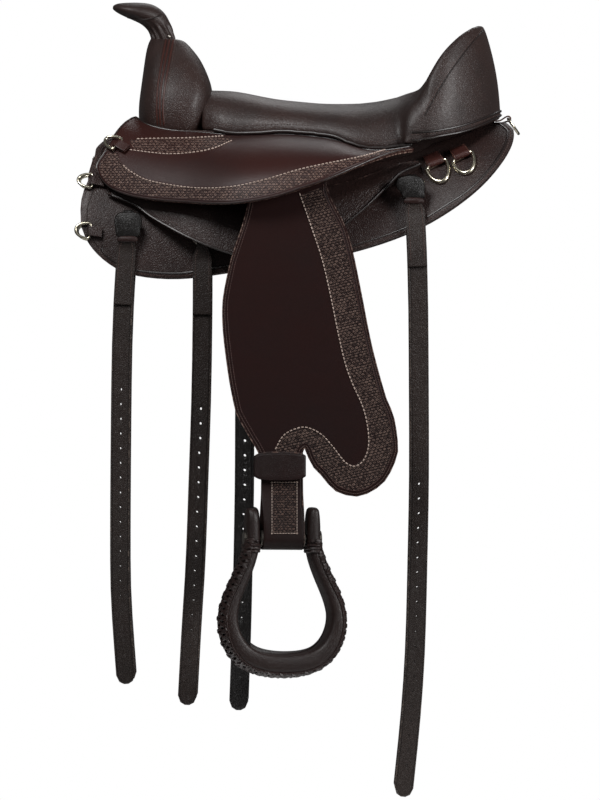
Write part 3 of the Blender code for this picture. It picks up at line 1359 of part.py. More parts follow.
def make_keeper(side, hand, pivot):
    """The keeper round the fender's neck and both runs of the leather."""
    corner = KEEPER_THICK
    half = KEEPER_LENGTH / 2 - KEEPER_THICK / 2 - corner
    face_out = FENDER_IN + FENDER_THICK + SEWN_GAP + KEEPER_THICK / 2 - corner
    face_in = corner - FENDER_IN - KEEPER_THICK / 2
    middle = placed(side, KEEPER_PLACE - HANGER_PLACE, 0, KEEPER_LEVEL - HANGER_BAR_LEVEL)
    corners = ((half, face_out), (-half, face_out), (-half, face_in), (half, face_in))
    stations = []
    for first, (x, out) in enumerate(corners):
        for step in range(3):
            angle = (first + step / 2) * math.pi / 2
            normal = placed(side, math.cos(angle), math.sin(angle), 0)
            centre = middle + placed(side, x, out, 0) + normal * corner
            stations.append((centre, normal, KEEPER_WIDTH / 2))
    made = closed_ribbon("keeper_" + hand, stations, KEEPER_THICK, smooth_leather)
    made.parent = pivot


def make_legs():
    """Both legs, each hung on its hanger's rail."""
    for side, hand in SIDES:
        turn = -side * LEATHER_TWIST
        pivot = bpy.data.objects.new("leg_axis_" + hand, None)
        parts.objects.link(pivot)
        pivot.location = placed(side, HANGER_PLACE, HANGER_BAR_OUT,
                                DRAWING_LEVEL + HANGER_BAR_LEVEL)
        pivot.rotation_euler.x = side * LEG_LEAN
        make_fender(side, hand, pivot)
        make_leather(side, hand, pivot, turn)
        make_bolt(hand, pivot, turn)
        make_stirrup(hand, pivot, turn)
        make_keeper(side, hand, pivot)


make_panels()
make_skirts()
make_flaps()
make_jockeys()
make_seat_bed()
make_seat()
make_pommel()
make_cantle()
make_straps()
make_girth_rings()
make_centre_rigging()
make_rear_dees()
make_front_dees()
make_crupper()
make_hangers()
make_legs()
bpy.context.scene.collection.children.link(parts)
bpy.context.scene.collection.children.link(cutters)
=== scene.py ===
"""Looks of a treeless saddle: its leathers, felt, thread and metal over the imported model.

Everything is in metres in the frame of the model: the horn points to -X, the
horse's left side is -Y and +Z is up. Outlines that were read from the
photograph are kept as pixels of it and turned into the frame by PhotoScale.
"""
from __future__ import annotations

import json
import logging
import math
from dataclasses import dataclass, field
from enum import Enum
from typing import Callable, Iterable, Sequence

import bmesh
import bpy
import numpy as np
from mathutils import Matrix, Vector
from mathutils.bvhtree import BVHTree
from mathutils.kdtree import KDTree

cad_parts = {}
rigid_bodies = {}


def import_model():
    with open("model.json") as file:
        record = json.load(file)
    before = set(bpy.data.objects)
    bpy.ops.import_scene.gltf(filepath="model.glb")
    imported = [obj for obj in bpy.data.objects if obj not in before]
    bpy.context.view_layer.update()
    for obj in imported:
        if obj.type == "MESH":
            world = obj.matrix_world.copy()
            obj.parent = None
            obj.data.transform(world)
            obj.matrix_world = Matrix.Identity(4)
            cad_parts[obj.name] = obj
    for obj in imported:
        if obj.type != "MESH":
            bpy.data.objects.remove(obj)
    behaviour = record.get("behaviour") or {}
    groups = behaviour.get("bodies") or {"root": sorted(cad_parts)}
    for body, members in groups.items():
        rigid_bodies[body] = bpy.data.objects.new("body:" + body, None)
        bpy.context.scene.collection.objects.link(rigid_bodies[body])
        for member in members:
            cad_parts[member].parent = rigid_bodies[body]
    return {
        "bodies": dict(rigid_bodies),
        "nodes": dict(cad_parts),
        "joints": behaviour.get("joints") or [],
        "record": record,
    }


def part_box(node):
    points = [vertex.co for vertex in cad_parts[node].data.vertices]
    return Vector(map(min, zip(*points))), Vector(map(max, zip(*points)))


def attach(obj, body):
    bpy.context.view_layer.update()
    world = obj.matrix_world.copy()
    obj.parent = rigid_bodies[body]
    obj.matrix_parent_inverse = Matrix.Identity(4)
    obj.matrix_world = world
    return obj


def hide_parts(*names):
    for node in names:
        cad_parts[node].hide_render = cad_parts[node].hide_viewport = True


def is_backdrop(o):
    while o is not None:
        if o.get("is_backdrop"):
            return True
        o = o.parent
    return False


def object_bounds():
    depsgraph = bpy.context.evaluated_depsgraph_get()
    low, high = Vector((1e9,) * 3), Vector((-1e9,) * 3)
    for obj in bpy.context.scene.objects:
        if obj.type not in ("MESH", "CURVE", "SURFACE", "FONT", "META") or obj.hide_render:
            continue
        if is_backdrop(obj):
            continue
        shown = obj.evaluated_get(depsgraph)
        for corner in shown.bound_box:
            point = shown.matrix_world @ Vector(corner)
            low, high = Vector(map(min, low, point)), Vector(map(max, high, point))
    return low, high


LOG = logging.getLogger("saddle")
MM = 0.001
UP = Vector((0.0, 0.0, 1.0))
WELD_GAP = 0.005 * MM
MEETING_GAP = 0.01 * MM
CUT_SLACK = 0.02 * MM
CURVE_PARTS = 12
RAY_START = 0.6
TINY = 1e-12
Line = list[Vector]
Colour = tuple[float, float, float]
Pixels = Sequence[tuple[float, float]]


class Side(Enum):
    """The horse's left and right side, by the direction of Y they lie in."""

    LEFT = -1
    RIGHT = 1

    @property
    def hand(self) -> str:
        """The word that the node names end in."""
        return self.name.lower()

    @property
    def out(self) -> Vector:
        """The direction away from the horse."""
        return Vector((0.0, float(self.value), 0.0))


class Tooling(Enum):
    """What is stamped into a leather inside its band."""

    PLAIN = "plain"
    STAMPED = "stamped"


@dataclass(frozen=True)
class PhotoScale:
    """Turns a pixel of the photograph into a place of the side view."""

    pixel: float = 1.34 * MM
    middle: float = 300.0
    zero_row: float = 143.0
    level: float = 16 * MM

    def place(self, px: float, py: float) -> tuple[float, float]:
        """The x and z of one pixel."""
        return (px - self.middle) * self.pixel, self.level + (self.zero_row - py) * self.pixel

    def line(self, pixels: Pixels) -> list[tuple[float, float]]:
        """The x and z of several pixels."""
        return [self.place(px, py) for px, py in pixels]


PHOTO = PhotoScale()


# Lines and meshes

def evened(line: Sequence[Vector], step: float, closed: bool = False) -> Line:
    """Run a smooth curve through points and space it evenly.

    Args:
        line: the points to pass through.
        step: the distance between the new points.
        closed: whether the curve comes back to its start.

    Returns:
        Points along the curve, without the repeated start of a closed one.
    """
    points = [Vector(p) for p in line]
    count = len(points)
    if count < 3:
        closed = False
    fine: Line = []
    spans = count if closed else count - 1
    for i in range(spans):
        if closed:
            a, b, c, d = (points[(i + k) % count] for k in (-1, 0, 1, 2))
        else:
            a, b = points[max(i - 1, 0)], points[i]
            c, d = points[i + 1], points[min(i + 2, count - 1)]
        for k in range(CURVE_PARTS):
            t = k / CURVE_PARTS
            fine.append(0.5 * (2 * b + (c - a) * t + (2 * a - 5 * b + 4 * c - d) * t * t
                               + (3 * b - a - 3 * c + d) * t * t * t))
    fine.append(points[0].copy() if closed else points[-1].copy())
    lengths = np.cumsum([0.0] + [(fine[i + 1] - fine[i]).length for i in range(len(fine) - 1)])
    total = float(lengths[-1])
    pieces = max(2, round(total / step))
    stops = np.linspace(0.0, total, pieces + 1)
    table = np.array(fine)
    made = [Vector([float(np.interp(s, lengths, table[:, k])) for k in range(3)]) for s in stops]
    return made[:-1] if closed else made


def runs(line: Sequence[Vector], closed: bool = False) -> Line:
    """The unit direction of a line at each of its points."""
    count = len(line)
    found = []
    for i in range(count):
        after = line[(i + 1) % count] if closed else line[min(i + 1, count - 1)]
        before = line[i - 1] if closed else line[max(i - 1, 0)]
        found.append((after - before).normalized())
    return found


def sweep(line: Sequence[Vector], radius: float, sides: int = 8, closed: bool = False,
          normals: Sequence[Vector] | None = None, flatness: float = 1.0,
          shape: bmesh.types.BMesh | None = None) -> bmesh.types.BMesh:
    """Sweep a round or flattened section along a line.

    Args:
        line: the middle of the section.
        radius: half the section's width.
        sides: how many corners the section has.
        closed: whether the line comes back to its start.
        normals: the section's upright at each point, or None where it doesn't matter.
        flatness: the section's height as a share of its width.
        shape: a mesh to add to, or None for a new one.

    Returns:
        The mesh that holds the tube.
    """
    shape = shape or bmesh.new()
    directions = runs(line, closed)
    upright = Vector((0.31, 0.87, 0.38))
    rings = []
    for i, (centre, run) in enumerate(zip(line, directions)):
        if normals is not None:
            upright = normals[i]
        upright = (upright - run * upright.dot(run)).normalized()
        across = run.cross(upright)
        rings.append([
            shape.verts.new(centre + across * radius * math.cos(2 * math.pi * j / sides)
                            + upright * radius * flatness * math.sin(2 * math.pi * j / sides))
            for j in range(sides)])
    spans = len(rings) if closed else len(rings) - 1
    for i in range(spans):
        a, b = rings[i], rings[(i + 1) % len(rings)]
        for j in range(sides):
            k = (j + 1) % sides
            shape.faces.new((a[j], a[k], b[k], b[j]))
    if not closed:
        shape.faces.new(list(reversed(rings[0])))
        shape.faces.new(rings[-1])
    return shape


def chained(edges: Iterable[bmesh.types.BMEdge]) -> list[Line]:
    """Join loose edges end to end, the longest line first."""
    links: dict[bmesh.types.BMVert, list[bmesh.types.BMVert]] = {}
    for edge in edges:
        a, b = edge.verts
        links.setdefault(a, []).append(b)
        links.setdefault(b, []).append(a)
    lines = []
    while links:
        start = next((v for v, ends in links.items() if len(ends) == 1), next(iter(links)))
        line, here = [start.co.copy()], start
        while links.get(here):
            ahead = links[here].pop()
            if not links[here]:
                del links[here]
            links[ahead].remove(here)
            if not links[ahead]:
                del links[ahead]
            line.append(ahead.co.copy())
            here = ahead
        if len(line) > 2:
            lines.append(line)
    lines.sort(key=lambda found: -sum((b - a).length for a, b in zip(found, found[1:])))
    return lines


def sliced(shape: bmesh.types.BMesh, point: Vector, normal: Vector) -> list[Line]:
    """The closed lines in which a plane cuts a mesh, the longest first."""
    copy = shape.copy()
    cut = bmesh.ops.bisect_plane(copy, geom=copy.verts[:] + copy.edges[:] + copy.faces[:],
                                 plane_co=point, plane_no=normal)
    lines = chained(e for e in cut["geom_cut"] if isinstance(e, bmesh.types.BMEdge))
    copy.free()
    for line in lines:
        if (line[0] - line[-1]).length < MEETING_GAP:
            line.pop()
    return lines


def polygon_distance(points: np.ndarray, outline: Sequence[tuple[float, float]]) -> np.ndarray:
    """How deep flat points lie inside an outline, below zero outside it."""
    corners = np.array(outline, float)
    ends = np.roll(corners, -1, axis=0)
    nearest = np.full(len(points), 1e9)
    inside = np.zeros(len(points), bool)
    for (ax, ay), (bx, by) in zip(corners, ends):
        span = np.array((bx - ax, by - ay))
        length = max(float(span @ span), TINY)
        t = np.clip(((points - (ax, ay)) @ span) / length, 0, 1)
        gap = np.hypot(points[:, 0] - ax - t * span[0], points[:, 1] - ay - t * span[1])
        nearest = np.minimum(nearest, gap)
        crosses = (ay > points[:, 1]) != (by > points[:, 1])
        rise = by - ay if abs(by - ay) > TINY else TINY
        inside ^= crosses & (points[:, 0] < ax + (points[:, 1] - ay) * (bx - ax) / rise)
    return np.where(inside, nearest, -nearest)


def gridded(shape: bmesh.types.BMesh, steps: Sequence[tuple[Vector, float]]) -> bmesh.types.BMesh:
    """Cut a mesh into a grid, so that its flat faces can carry readings.

    Args:
        shape: the mesh, which is changed.
        steps: what each set of cuts runs square to, and the distance between them.

    Returns:
        The same mesh.
    """
    bmesh.ops.triangulate(shape, faces=[f for f in shape.faces if len(f.verts) > 4])
    for direction, step in steps:
        levels = [v.co.dot(direction) for v in shape.verts]
        low, high = min(levels), max(levels)
        count = max(1, round((high - low) / step))
        for i in range(1, count):
            place = direction * (low + (high - low) * i / count)
            bmesh.ops.bisect_plane(shape, geom=shape.verts[:] + shape.edges[:] + shape.faces[:],
                                   plane_co=place, plane_no=direction, dist=CUT_SLACK)
    return shape


class Hide:
    """A finished surface that lines are laid on and moved along."""

    def __init__(self, shape: bmesh.types.BMesh) -> None:
        """Args:
            shape: the mesh of the surface, which stays the caller's.
        """
        self.tree = BVHTree.FromBMesh(shape)

    def snapped(self, point: Vector, lift: float = 0.0) -> tuple[Vector, Vector]:
        """The nearest place of the surface, raised by lift, and its outward direction."""
        place, normal, _, _ = self.tree.find_nearest(point)
        return place + normal * lift, normal

    def seen(self, side: Side, x: float, z: float, lift: float = 0.0) -> tuple[Vector, Vector] | None:
        """The place that shows at x and z from one side, or None beside the surface."""
        start = Vector((x, side.value * RAY_START, z))
        place, normal, _, _ = self.tree.ray_cast(start, -side.out)
        if place is None:
            return None
        return place + normal * lift, normal

    def laid(self, side: Side, pixels: Pixels, step: float, lift: float = 0.0) -> tuple[Line, Line]:
        """Lay a line of the photograph on the surface.

        Args:
            side: the side of the horse it is laid on.
            pixels: the line's pixels.
            step: the distance between its points.
            lift: how far it stands off the surface.

        Returns:
            The points, and the surface's outward direction at each of them.
        """
        flat = evened([Vector((x, 0.0, z)) for x, z in PHOTO.line(pixels)], step)
        found = [self.seen(side, p.x, p.z, lift) for p in flat]
        hits = [f for f in found if f is not None]
        line = evened([p for p, _ in hits], step) if len(hits) > 2 else [p for p, _ in hits]
        return line, [self.snapped(p)[1] for p in line]

    def outer(self, point: Vector, guide: Vector, reach: float = 9 * MM) -> Vector:
        """The mean outward direction of the faces near a point that face a guide direction."""
        found = Vector()
        for _, normal, _, gap in self.tree.find_nearest_range(point, reach):
            if normal.dot(guide) > 0.3:
                found += normal / (gap + 1 * MM)
        return found.normalized() if found.length else guide.copy()

    def inset(self, line: Sequence[Vector], distance: float, side: Side,
              lift: float = 0.0) -> tuple[Line, Line]:
        """Move a closed rim line inwards over the surface by a distance.

        Args:
            line: the rim.
            distance: how far it moves in.
            side: the side of the horse that the sheet is on.
            lift: how far it stands off the surface.

        Returns:
            The new line and the outward directions along it.
        """
        guide = (side.out * 0.8 + UP * 0.6).normalized()
        ups = [self.outer(point, guide) for point in line]
        across = [up.cross(run).normalized() for up, run in zip(ups, runs(line, True))]
        best: list[tuple[float, Line, Line]] = []
        for way in (1, -1):
            goals = [p + a * distance * way + u * 1 * MM for p, a, u in zip(line, across, ups)]
            spots = [self.snapped(goal, lift) for goal in goals]
            error = sum((goal - spot).length for goal, (spot, _) in zip(goals, spots))
            best.append((error, [spot for spot, _ in spots], ups))
        _, moved, ups = min(best, key=lambda found: found[0])
        rim = KDTree(len(line))
        for i, point in enumerate(line):
            rim.insert(point, i)
        rim.balance()
        kept = [i for i, spot in enumerate(moved) if rim.find(spot)[2] > distance * 0.8]
        return [moved[i] for i in kept], [ups[i] for i in kept]


# Shader groups, built once and placed in every leather and metal

class Wiring:
    """Short hand for adding and joining the nodes of one tree."""

    def __init__(self, tree: bpy.types.NodeTree) -> None:
        """Args:
            tree: the tree that the nodes go into.
        """
        self.tree = tree

    def node(self, kind: str, **settings: object) -> bpy.types.Node:
        """A new node with its settings."""
        made = self.tree.nodes.new(kind)
        for key, value in settings.items():
            setattr(made, key, value)
        return made

    def feed(self, target: bpy.types.NodeSocket, value: object) -> None:
        """Give an input a number, a colour or another node's output."""
        if isinstance(value, bpy.types.NodeSocket):
            self.tree.links.new(value, target)
        elif isinstance(value, tuple) and target.type == "RGBA":
            target.default_value = (*value[:3], 1.0)
        else:
            target.default_value = value

    def sum(self, operation: str, a: object, b: object = 0.0, clamp: bool = False) -> bpy.types.NodeSocket:
        """One step of arithmetic."""
        made = self.node("ShaderNodeMath", operation=operation, use_clamp=clamp)
        self.feed(made.inputs[0], a)
        self.feed(made.inputs[1], b)
        return made.outputs[0]

    def ramp(self, value: object, low: float, high: float, start: float = 0.0,
             end: float = 1.0) -> bpy.types.NodeSocket:
        """A smooth step between two values."""
        made = self.node("ShaderNodeMapRange", interpolation_type="SMOOTHSTEP")
        for name, what in (("Value", value), ("From Min", low), ("From Max", high),
                           ("To Min", start), ("To Max", end)):
            self.feed(made.inputs[name], what)
        return made.outputs[0]

    def mix(self, share: object, a: object, b: object) -> bpy.types.NodeSocket:
        """A blend of two colours."""
        made = self.node("ShaderNodeMix", data_type="RGBA")
        self.feed(made.inputs[0], share)
        self.feed(made.inputs[6], a)
        self.feed(made.inputs[7], b)
        return made.outputs[2]

    def noise(self, scale: object, detail: float = 3.0, rough: float = 0.55,
              vector: bpy.types.NodeSocket | None = None) -> bpy.types.NodeSocket:
        """Cloudy noise over the piece."""
        made = self.node("ShaderNodeTexNoise")
        self.feed(made.inputs["Vector"], vector or self.place())
        self.feed(made.inputs["Scale"], scale)
        made.inputs["Detail"].default_value = detail
        made.inputs["Roughness"].default_value = rough
        return made.outputs["Fac"]

    def place(self) -> bpy.types.NodeSocket:
        """The place on the piece, in metres."""
        return self.node("ShaderNodeTexCoord").outputs["Object"]

    def reading(self, name: str) -> bpy.types.NodeSocket:
        """A number that was written on the mesh."""
        made = self.node("ShaderNodeAttribute", attribute_name=name)
        return made.outputs["Fac"]


def new_group(name: str, inputs: Sequence[tuple[str, str, object]],
              outputs: Sequence[tuple[str, str]]) -> tuple[Wiring, bpy.types.Node, bpy.types.Node]:
    """Start a shader group.

    Args:
        name: the group's name.
        inputs: name, kind and first value of each input.
        outputs: name and kind of each output.

    Returns:
        The wiring of the group, its input node and its output node.
    """
    group = bpy.data.node_groups.new(name, "ShaderNodeTree")
    for label, kind, value in inputs:
        socket = group.interface.new_socket(label, in_out="INPUT", socket_type=kind)
        socket.default_value = (*value, 1.0) if kind == "NodeSocketColor" else value
    for label, kind in outputs:
        group.interface.new_socket(label, in_out="OUTPUT", socket_type=kind)
    wiring = Wiring(group)
    return wiring, wiring.node("NodeGroupInput"), wiring.node("NodeGroupOutput")


NUMBER = "NodeSocketFloat"
PAINT = "NodeSocketColor"


class Effects:
    """The shader groups that the finishes share."""

    def __init__(self) -> None:
        """Build every group once."""
        self.grain = self._grain()
        self.weave = self._weave()
        self.tooled = self._tooled()
        self.dye = self._dye()
        self.tarnish = self._tarnish()

    def _grain(self) -> bpy.types.NodeTree:
        """Pebbled skin with fine pores and long soft creases."""
        w, given, out = new_group("Leather Grain", [("Pebbles", NUMBER, 600.0), ("Crease", NUMBER, 0.4)],
                                  [("Height", NUMBER), ("Pores", NUMBER)])
        cells = w.node("ShaderNodeTexVoronoi", feature="DISTANCE_TO_EDGE")
        w.feed(cells.inputs["Vector"], w.place())
        w.feed(cells.inputs["Scale"], given.outputs["Pebbles"])
        pebble = w.ramp(cells.outputs["Distance"], 0.0, 0.35)
        fine = w.noise(w.sum("MULTIPLY", given.outputs["Pebbles"], 2.3), 2.0)
        soft = w.noise(w.sum("MULTIPLY", given.outputs["Pebbles"], 0.09), 4.0, 0.62)
        crease = w.ramp(w.sum("ABSOLUTE", w.sum("SUBTRACT", soft, 0.5)), 0.0, 0.05)
        height = w.sum("ADD", w.sum("MULTIPLY", pebble, 0.55), w.sum("MULTIPLY", fine, 0.25))
        height = w.sum("ADD", height, w.sum("MULTIPLY", crease, given.outputs["Crease"]))
        w.feed(out.inputs["Height"], height)
        w.feed(out.inputs["Pores"], w.sum("SUBTRACT", 1.0, pebble, clamp=True))
        return w.tree

    def _weave(self) -> bpy.types.NodeTree:
        """Rows of stamped overlapping arcs in the upright plane of the saddle."""
        w, given, out = new_group("Basket Stamp", [("Cell", NUMBER, 5.2 * MM), ("Turn", NUMBER, 0.0)],
                                  [("Height", NUMBER), ("Gaps", NUMBER)])
        turned = w.node("ShaderNodeVectorRotate", rotation_type="Y_AXIS")
        w.feed(turned.inputs["Vector"], w.place())
        w.feed(turned.inputs["Angle"], given.outputs["Turn"])
        split = w.node("ShaderNodeSeparateXYZ")
        w.feed(split.inputs[0], turned.outputs[0])
        sway = w.sum("MULTIPLY", w.noise(55.0, 2.0), 0.5)
        u = w.sum("ADD", w.sum("DIVIDE", split.outputs[0], given.outputs["Cell"]), sway)
        v = w.sum("SUBTRACT", w.sum("DIVIDE", split.outputs[2],
                                    w.sum("MULTIPLY", given.outputs["Cell"], 0.66)), sway)
        shift = w.sum("MULTIPLY", w.sum("PINGPONG", w.sum("FLOOR", v), 1.0), 0.5)
        across = w.sum("SUBTRACT", w.sum("FRACT", w.sum("ADD", u, shift)), 0.5)
        along = w.sum("MULTIPLY", w.sum("FRACT", v), 0.75)
        reach = w.sum("SQRT", w.sum("ADD", w.sum("MULTIPLY", across, across),
                                    w.sum("MULTIPLY", along, along)))
        arcs = w.sum("ABSOLUTE", w.sum("SINE", w.sum("MULTIPLY", reach, 2.0 * math.pi)))
        uneven = w.ramp(w.noise(300.0, 2.0), 0.3, 0.7, 0.6, 1.0)
        height = w.sum("MULTIPLY", w.ramp(arcs, 0.15, 1.0), uneven)
        w.feed(out.inputs["Height"], height)
        w.feed(out.inputs["Gaps"], w.sum("SUBTRACT", 1.0, height, clamp=True))
        return w.tree

    def _tooled(self) -> bpy.types.NodeTree:
        """Where the stamped band lies, and the bead lines that border it."""
        w, given, out = new_group("Tooled Band", [("Depth Inside", NUMBER, -1.0), ("Bead", NUMBER, 1.0 * MM)],
                                  [("Band", NUMBER), ("Line", NUMBER)])
        inside = given.outputs["Depth Inside"]
        w.feed(out.inputs["Band"], w.ramp(inside, 0.6 * MM, 1.4 * MM))
        off = w.sum("ABSOLUTE", w.sum("SUBTRACT", inside, 0.4 * MM))
        w.feed(out.inputs["Line"], w.sum("SUBTRACT", 1.0, w.ramp(w.sum("DIVIDE", off, given.outputs["Bead"]),
                                                                0.3, 1.0), clamp=True))
        return w.tree

    def _dye(self) -> bpy.types.NodeTree:
        """Uneven dye, darker pores, burnished and rubbed rims, painted shade in stamped gaps and edge
        grooves, and a painted highlight on raised stamping.
        """
        w, given, out = new_group(
            "Leather Dye",
            [("Colour", PAINT, (0.05, 0.03, 0.02)), ("Deep", PAINT, (0.02, 0.01, 0.01)),
             ("Worn", PAINT, (0.1, 0.06, 0.05)), ("Pores", NUMBER, 0.0), ("Hollows", NUMBER, 0.0),
             ("Raised", NUMBER, 0.0), ("Rim", NUMBER, 1.0), ("Patches", NUMBER, 9.0), ("Wear", NUMBER, 0.3)],
            [("Colour", PAINT), ("Dullness", NUMBER)])
        cloud = w.noise(given.outputs["Patches"], 5.0, 0.6)
        blotch = w.ramp(cloud, 0.35, 0.68)
        fine = w.noise(240.0, 3.0)
        colour = w.mix(w.sum("MULTIPLY", blotch, 0.55), given.outputs["Colour"], given.outputs["Deep"])
        colour = w.mix(w.sum("MULTIPLY", given.outputs["Pores"], 0.45), colour, given.outputs["Deep"])
        # painted shade: stamped gaps and edge-bead grooves are darkened toward the deep colour
        colour = w.mix(w.sum("MULTIPLY", given.outputs["Hollows"], 0.75), colour, given.outputs["Deep"])
        # painted highlight: raised stamping is lightened toward the colour that also marks rubbed rims
        colour = w.mix(w.sum("MULTIPLY", given.outputs["Raised"], 0.42), colour, given.outputs["Worn"])
        near = w.sum("SUBTRACT", 1.0, w.ramp(given.outputs["Rim"], 0.3 * MM, 2.2 * MM), clamp=True)
        rub = w.sum("MULTIPLY", w.sum("MULTIPLY", near, w.ramp(fine, 0.42, 0.66)), given.outputs["Wear"])
        colour = w.mix(rub, colour, given.outputs["Worn"])
        w.feed(out.inputs["Colour"], colour)
        dull = w.sum("ADD", w.sum("MULTIPLY", blotch, 0.10),
                     w.sum("MULTIPLY", given.outputs["Hollows"], 0.12))
        w.feed(out.inputs["Dullness"], w.sum("ADD", dull, w.sum("MULTIPLY", given.outputs["Pores"], 0.08)))
        return w.tree

    def _tarnish(self) -> bpy.types.NodeTree:
        """Handled metal: fine scratches and a patchy darker finger haze."""
        w, given, out = new_group("Handled Metal", [("Colour", PAINT, (0.8, 0.75, 0.65)),
                                                    ("Haze", NUMBER, 0.3)],
                                  [("Colour", PAINT), ("Dullness", NUMBER), ("Height", NUMBER)])
        cloud = w.ramp(w.noise(60.0, 4.0), 0.4, 0.7)
        stretched = w.node("ShaderNodeMapping")
        w.feed(stretched.inputs["Vector"], w.place())
        stretched.inputs["Scale"].default_value = (1.0, 1.0, 9.0)
        scratch = w.noise(900.0, 2.0, 0.7, stretched.outputs[0])
        dark = w.mix(0.6, given.outputs["Colour"], (0.2, 0.16, 0.11))
        w.feed(out.inputs["Colour"], w.mix(w.sum("MULTIPLY", cloud, given.outputs["Haze"]),
                                           given.outputs["Colour"], dark))
        w.feed(out.inputs["Dullness"], w.sum("ADD", w.sum("MULTIPLY", cloud, 0.14),
                                             w.sum("MULTIPLY", scratch, 0.10)))
        w.feed(out.inputs["Height"], scratch)
        return w.tree


def placed_group(w: Wiring, tree: bpy.types.NodeTree, **values: object) -> bpy.types.Node:
    """Place a shader group and feed its inputs, named with _ for each space."""
    made = w.node("ShaderNodeGroup", node_tree=tree)
    for name, value in values.items():
        w.feed(made.inputs[name.replace("_", " ")], value)
    return made


def srgb(red: int, green: int, blue: int) -> Colour:
    """A colour written as on a screen, for a shader."""
    def linear(value: float) -> float:
        value /= 255
        return value / 12.92 if value <= 0.04045 else ((value + 0.055) / 1.055) ** 2.4
    return linear(red), linear(green), linear(blue)


# Finishes

@dataclass(frozen=True)
class LeatherFinish:
    """One leather: its dye, its skin and what is stamped into it."""

    name: str
    slot: str
    colour: Colour
    deep: Colour
    # the colour of rubbed rims, and of the painted highlight on raised stamping
    worn: Colour
    roughness: float = 0.42
    gloss: float = 0.36
    wax: float = 0.06
    pebbles: float = 620.0
    crease: float = 0.4
    relief: float = 0.35 * MM
    wear: float = 0.5
    patches: float = 9.0
    tooling: Tooling = Tooling.PLAIN
    cell: float = 5.2 * MM
    turn: float = 0.0
    edge_bead: float = 0.0

    def made(self, effects: Effects) -> bpy.types.Material:
        """Build the material.

        Args:
            effects: the shared shader groups.

        Returns:
            The finished material.
        """
        material = bpy.data.materials.new(self.name)
        material.use_nodes = True
        w = Wiring(material.node_tree)
        shader = next(n for n in w.tree.nodes if n.type == "BSDF_PRINCIPLED")
        shader.inputs["Coat Weight"].default_value = self.wax
        shader.inputs["Coat Roughness"].default_value = 0.32
        shader.inputs["Specular IOR Level"].default_value = self.gloss
        rim = w.reading("rim")
        grain = placed_group(w, effects.grain, Pebbles=self.pebbles, Crease=self.crease)
        height = grain.outputs["Height"]
        painted_shade: object = 0.0
        painted_highlight: object = 0.0
        if self.tooling is not Tooling.PLAIN:
            band = placed_group(w, effects.tooled, Depth_Inside=w.reading("band"), Bead=1.3 * MM)
            stamp = placed_group(w, effects.weave, Cell=self.cell, Turn=self.turn)
            inside = band.outputs["Band"]
            # painted shade in the stamp's gaps
            painted_shade = w.sum("MULTIPLY", stamp.outputs["Gaps"], inside)
            # painted highlight on the stamp's raised arcs
            painted_highlight = w.sum("MULTIPLY", w.ramp(stamp.outputs["Height"], 0.55, 1.0), inside)
            stamped = w.sum("MULTIPLY", w.sum("MULTIPLY", stamp.outputs["Height"], inside), 4.6)
            smooth = w.sum("MULTIPLY", w.sum("SUBTRACT", 1.0, inside, clamp=True), 4.2)
            height = w.sum("ADD", w.sum("MULTIPLY", height, 0.5), w.sum("ADD", stamped, smooth))
            height = w.sum("ADD", height, w.sum("MULTIPLY", band.outputs["Line"], 1.2))
        if self.edge_bead > 0:
            # the edge bead's groove is pressed in by the bump and darkened as painted shade
            off = w.sum("ABSOLUTE", w.sum("SUBTRACT", rim, self.edge_bead))
            groove = w.sum("SUBTRACT", 1.0, w.ramp(off, 0.0, 0.9 * MM), clamp=True)
            height = w.sum("SUBTRACT", height, w.sum("MULTIPLY", groove, 1.6))
            painted_shade = w.sum("ADD", painted_shade, w.sum("MULTIPLY", groove, 0.7), clamp=True)
        dye = placed_group(w, effects.dye, Colour=self.colour, Deep=self.deep, Worn=self.worn,
                           Pores=grain.outputs["Pores"], Hollows=painted_shade, Raised=painted_highlight, Rim=rim,
                           Patches=self.patches, Wear=self.wear)
        w.feed(shader.inputs["Base Color"], dye.outputs["Colour"])
        w.feed(shader.inputs["Roughness"], w.sum("ADD", dye.outputs["Dullness"], self.roughness))
        bump = w.node("ShaderNodeBump")
        bump.inputs["Strength"].default_value = 1.0
        bump.inputs["Distance"].default_value = self.relief
        w.feed(bump.inputs["Height"], height)
        w.feed(shader.inputs["Normal"], bump.outputs["Normal"])
        return material


@dataclass(frozen=True)
class MetalFinish:
    """A handled metal."""

    name: str
    slot: str
    colour: Colour
    roughness: float = 0.16
    haze: float = 0.35

    def made(self, effects: Effects) -> bpy.types.Material:
        """Build the material from the shared groups."""
        material = bpy.data.materials.new(self.name)
        material.use_nodes = True
        w = Wiring(material.node_tree)
        shader = next(n for n in w.tree.nodes if n.type == "BSDF_PRINCIPLED")
        shader.inputs["Metallic"].default_value = 1.0
        metal = placed_group(w, effects.tarnish, Colour=self.colour, Haze=self.haze)
        w.feed(shader.inputs["Base Color"], metal.outputs["Colour"])
        w.feed(shader.inputs["Roughness"], w.sum("ADD", metal.outputs["Dullness"], self.roughness))
        bump = w.node("ShaderNodeBump")
        bump.inputs["Distance"].default_value = 0.02 * MM
        w.feed(bump.inputs["Height"], metal.outputs["Height"])
        w.feed(shader.inputs["Normal"], bump.outputs["Normal"])
        return material


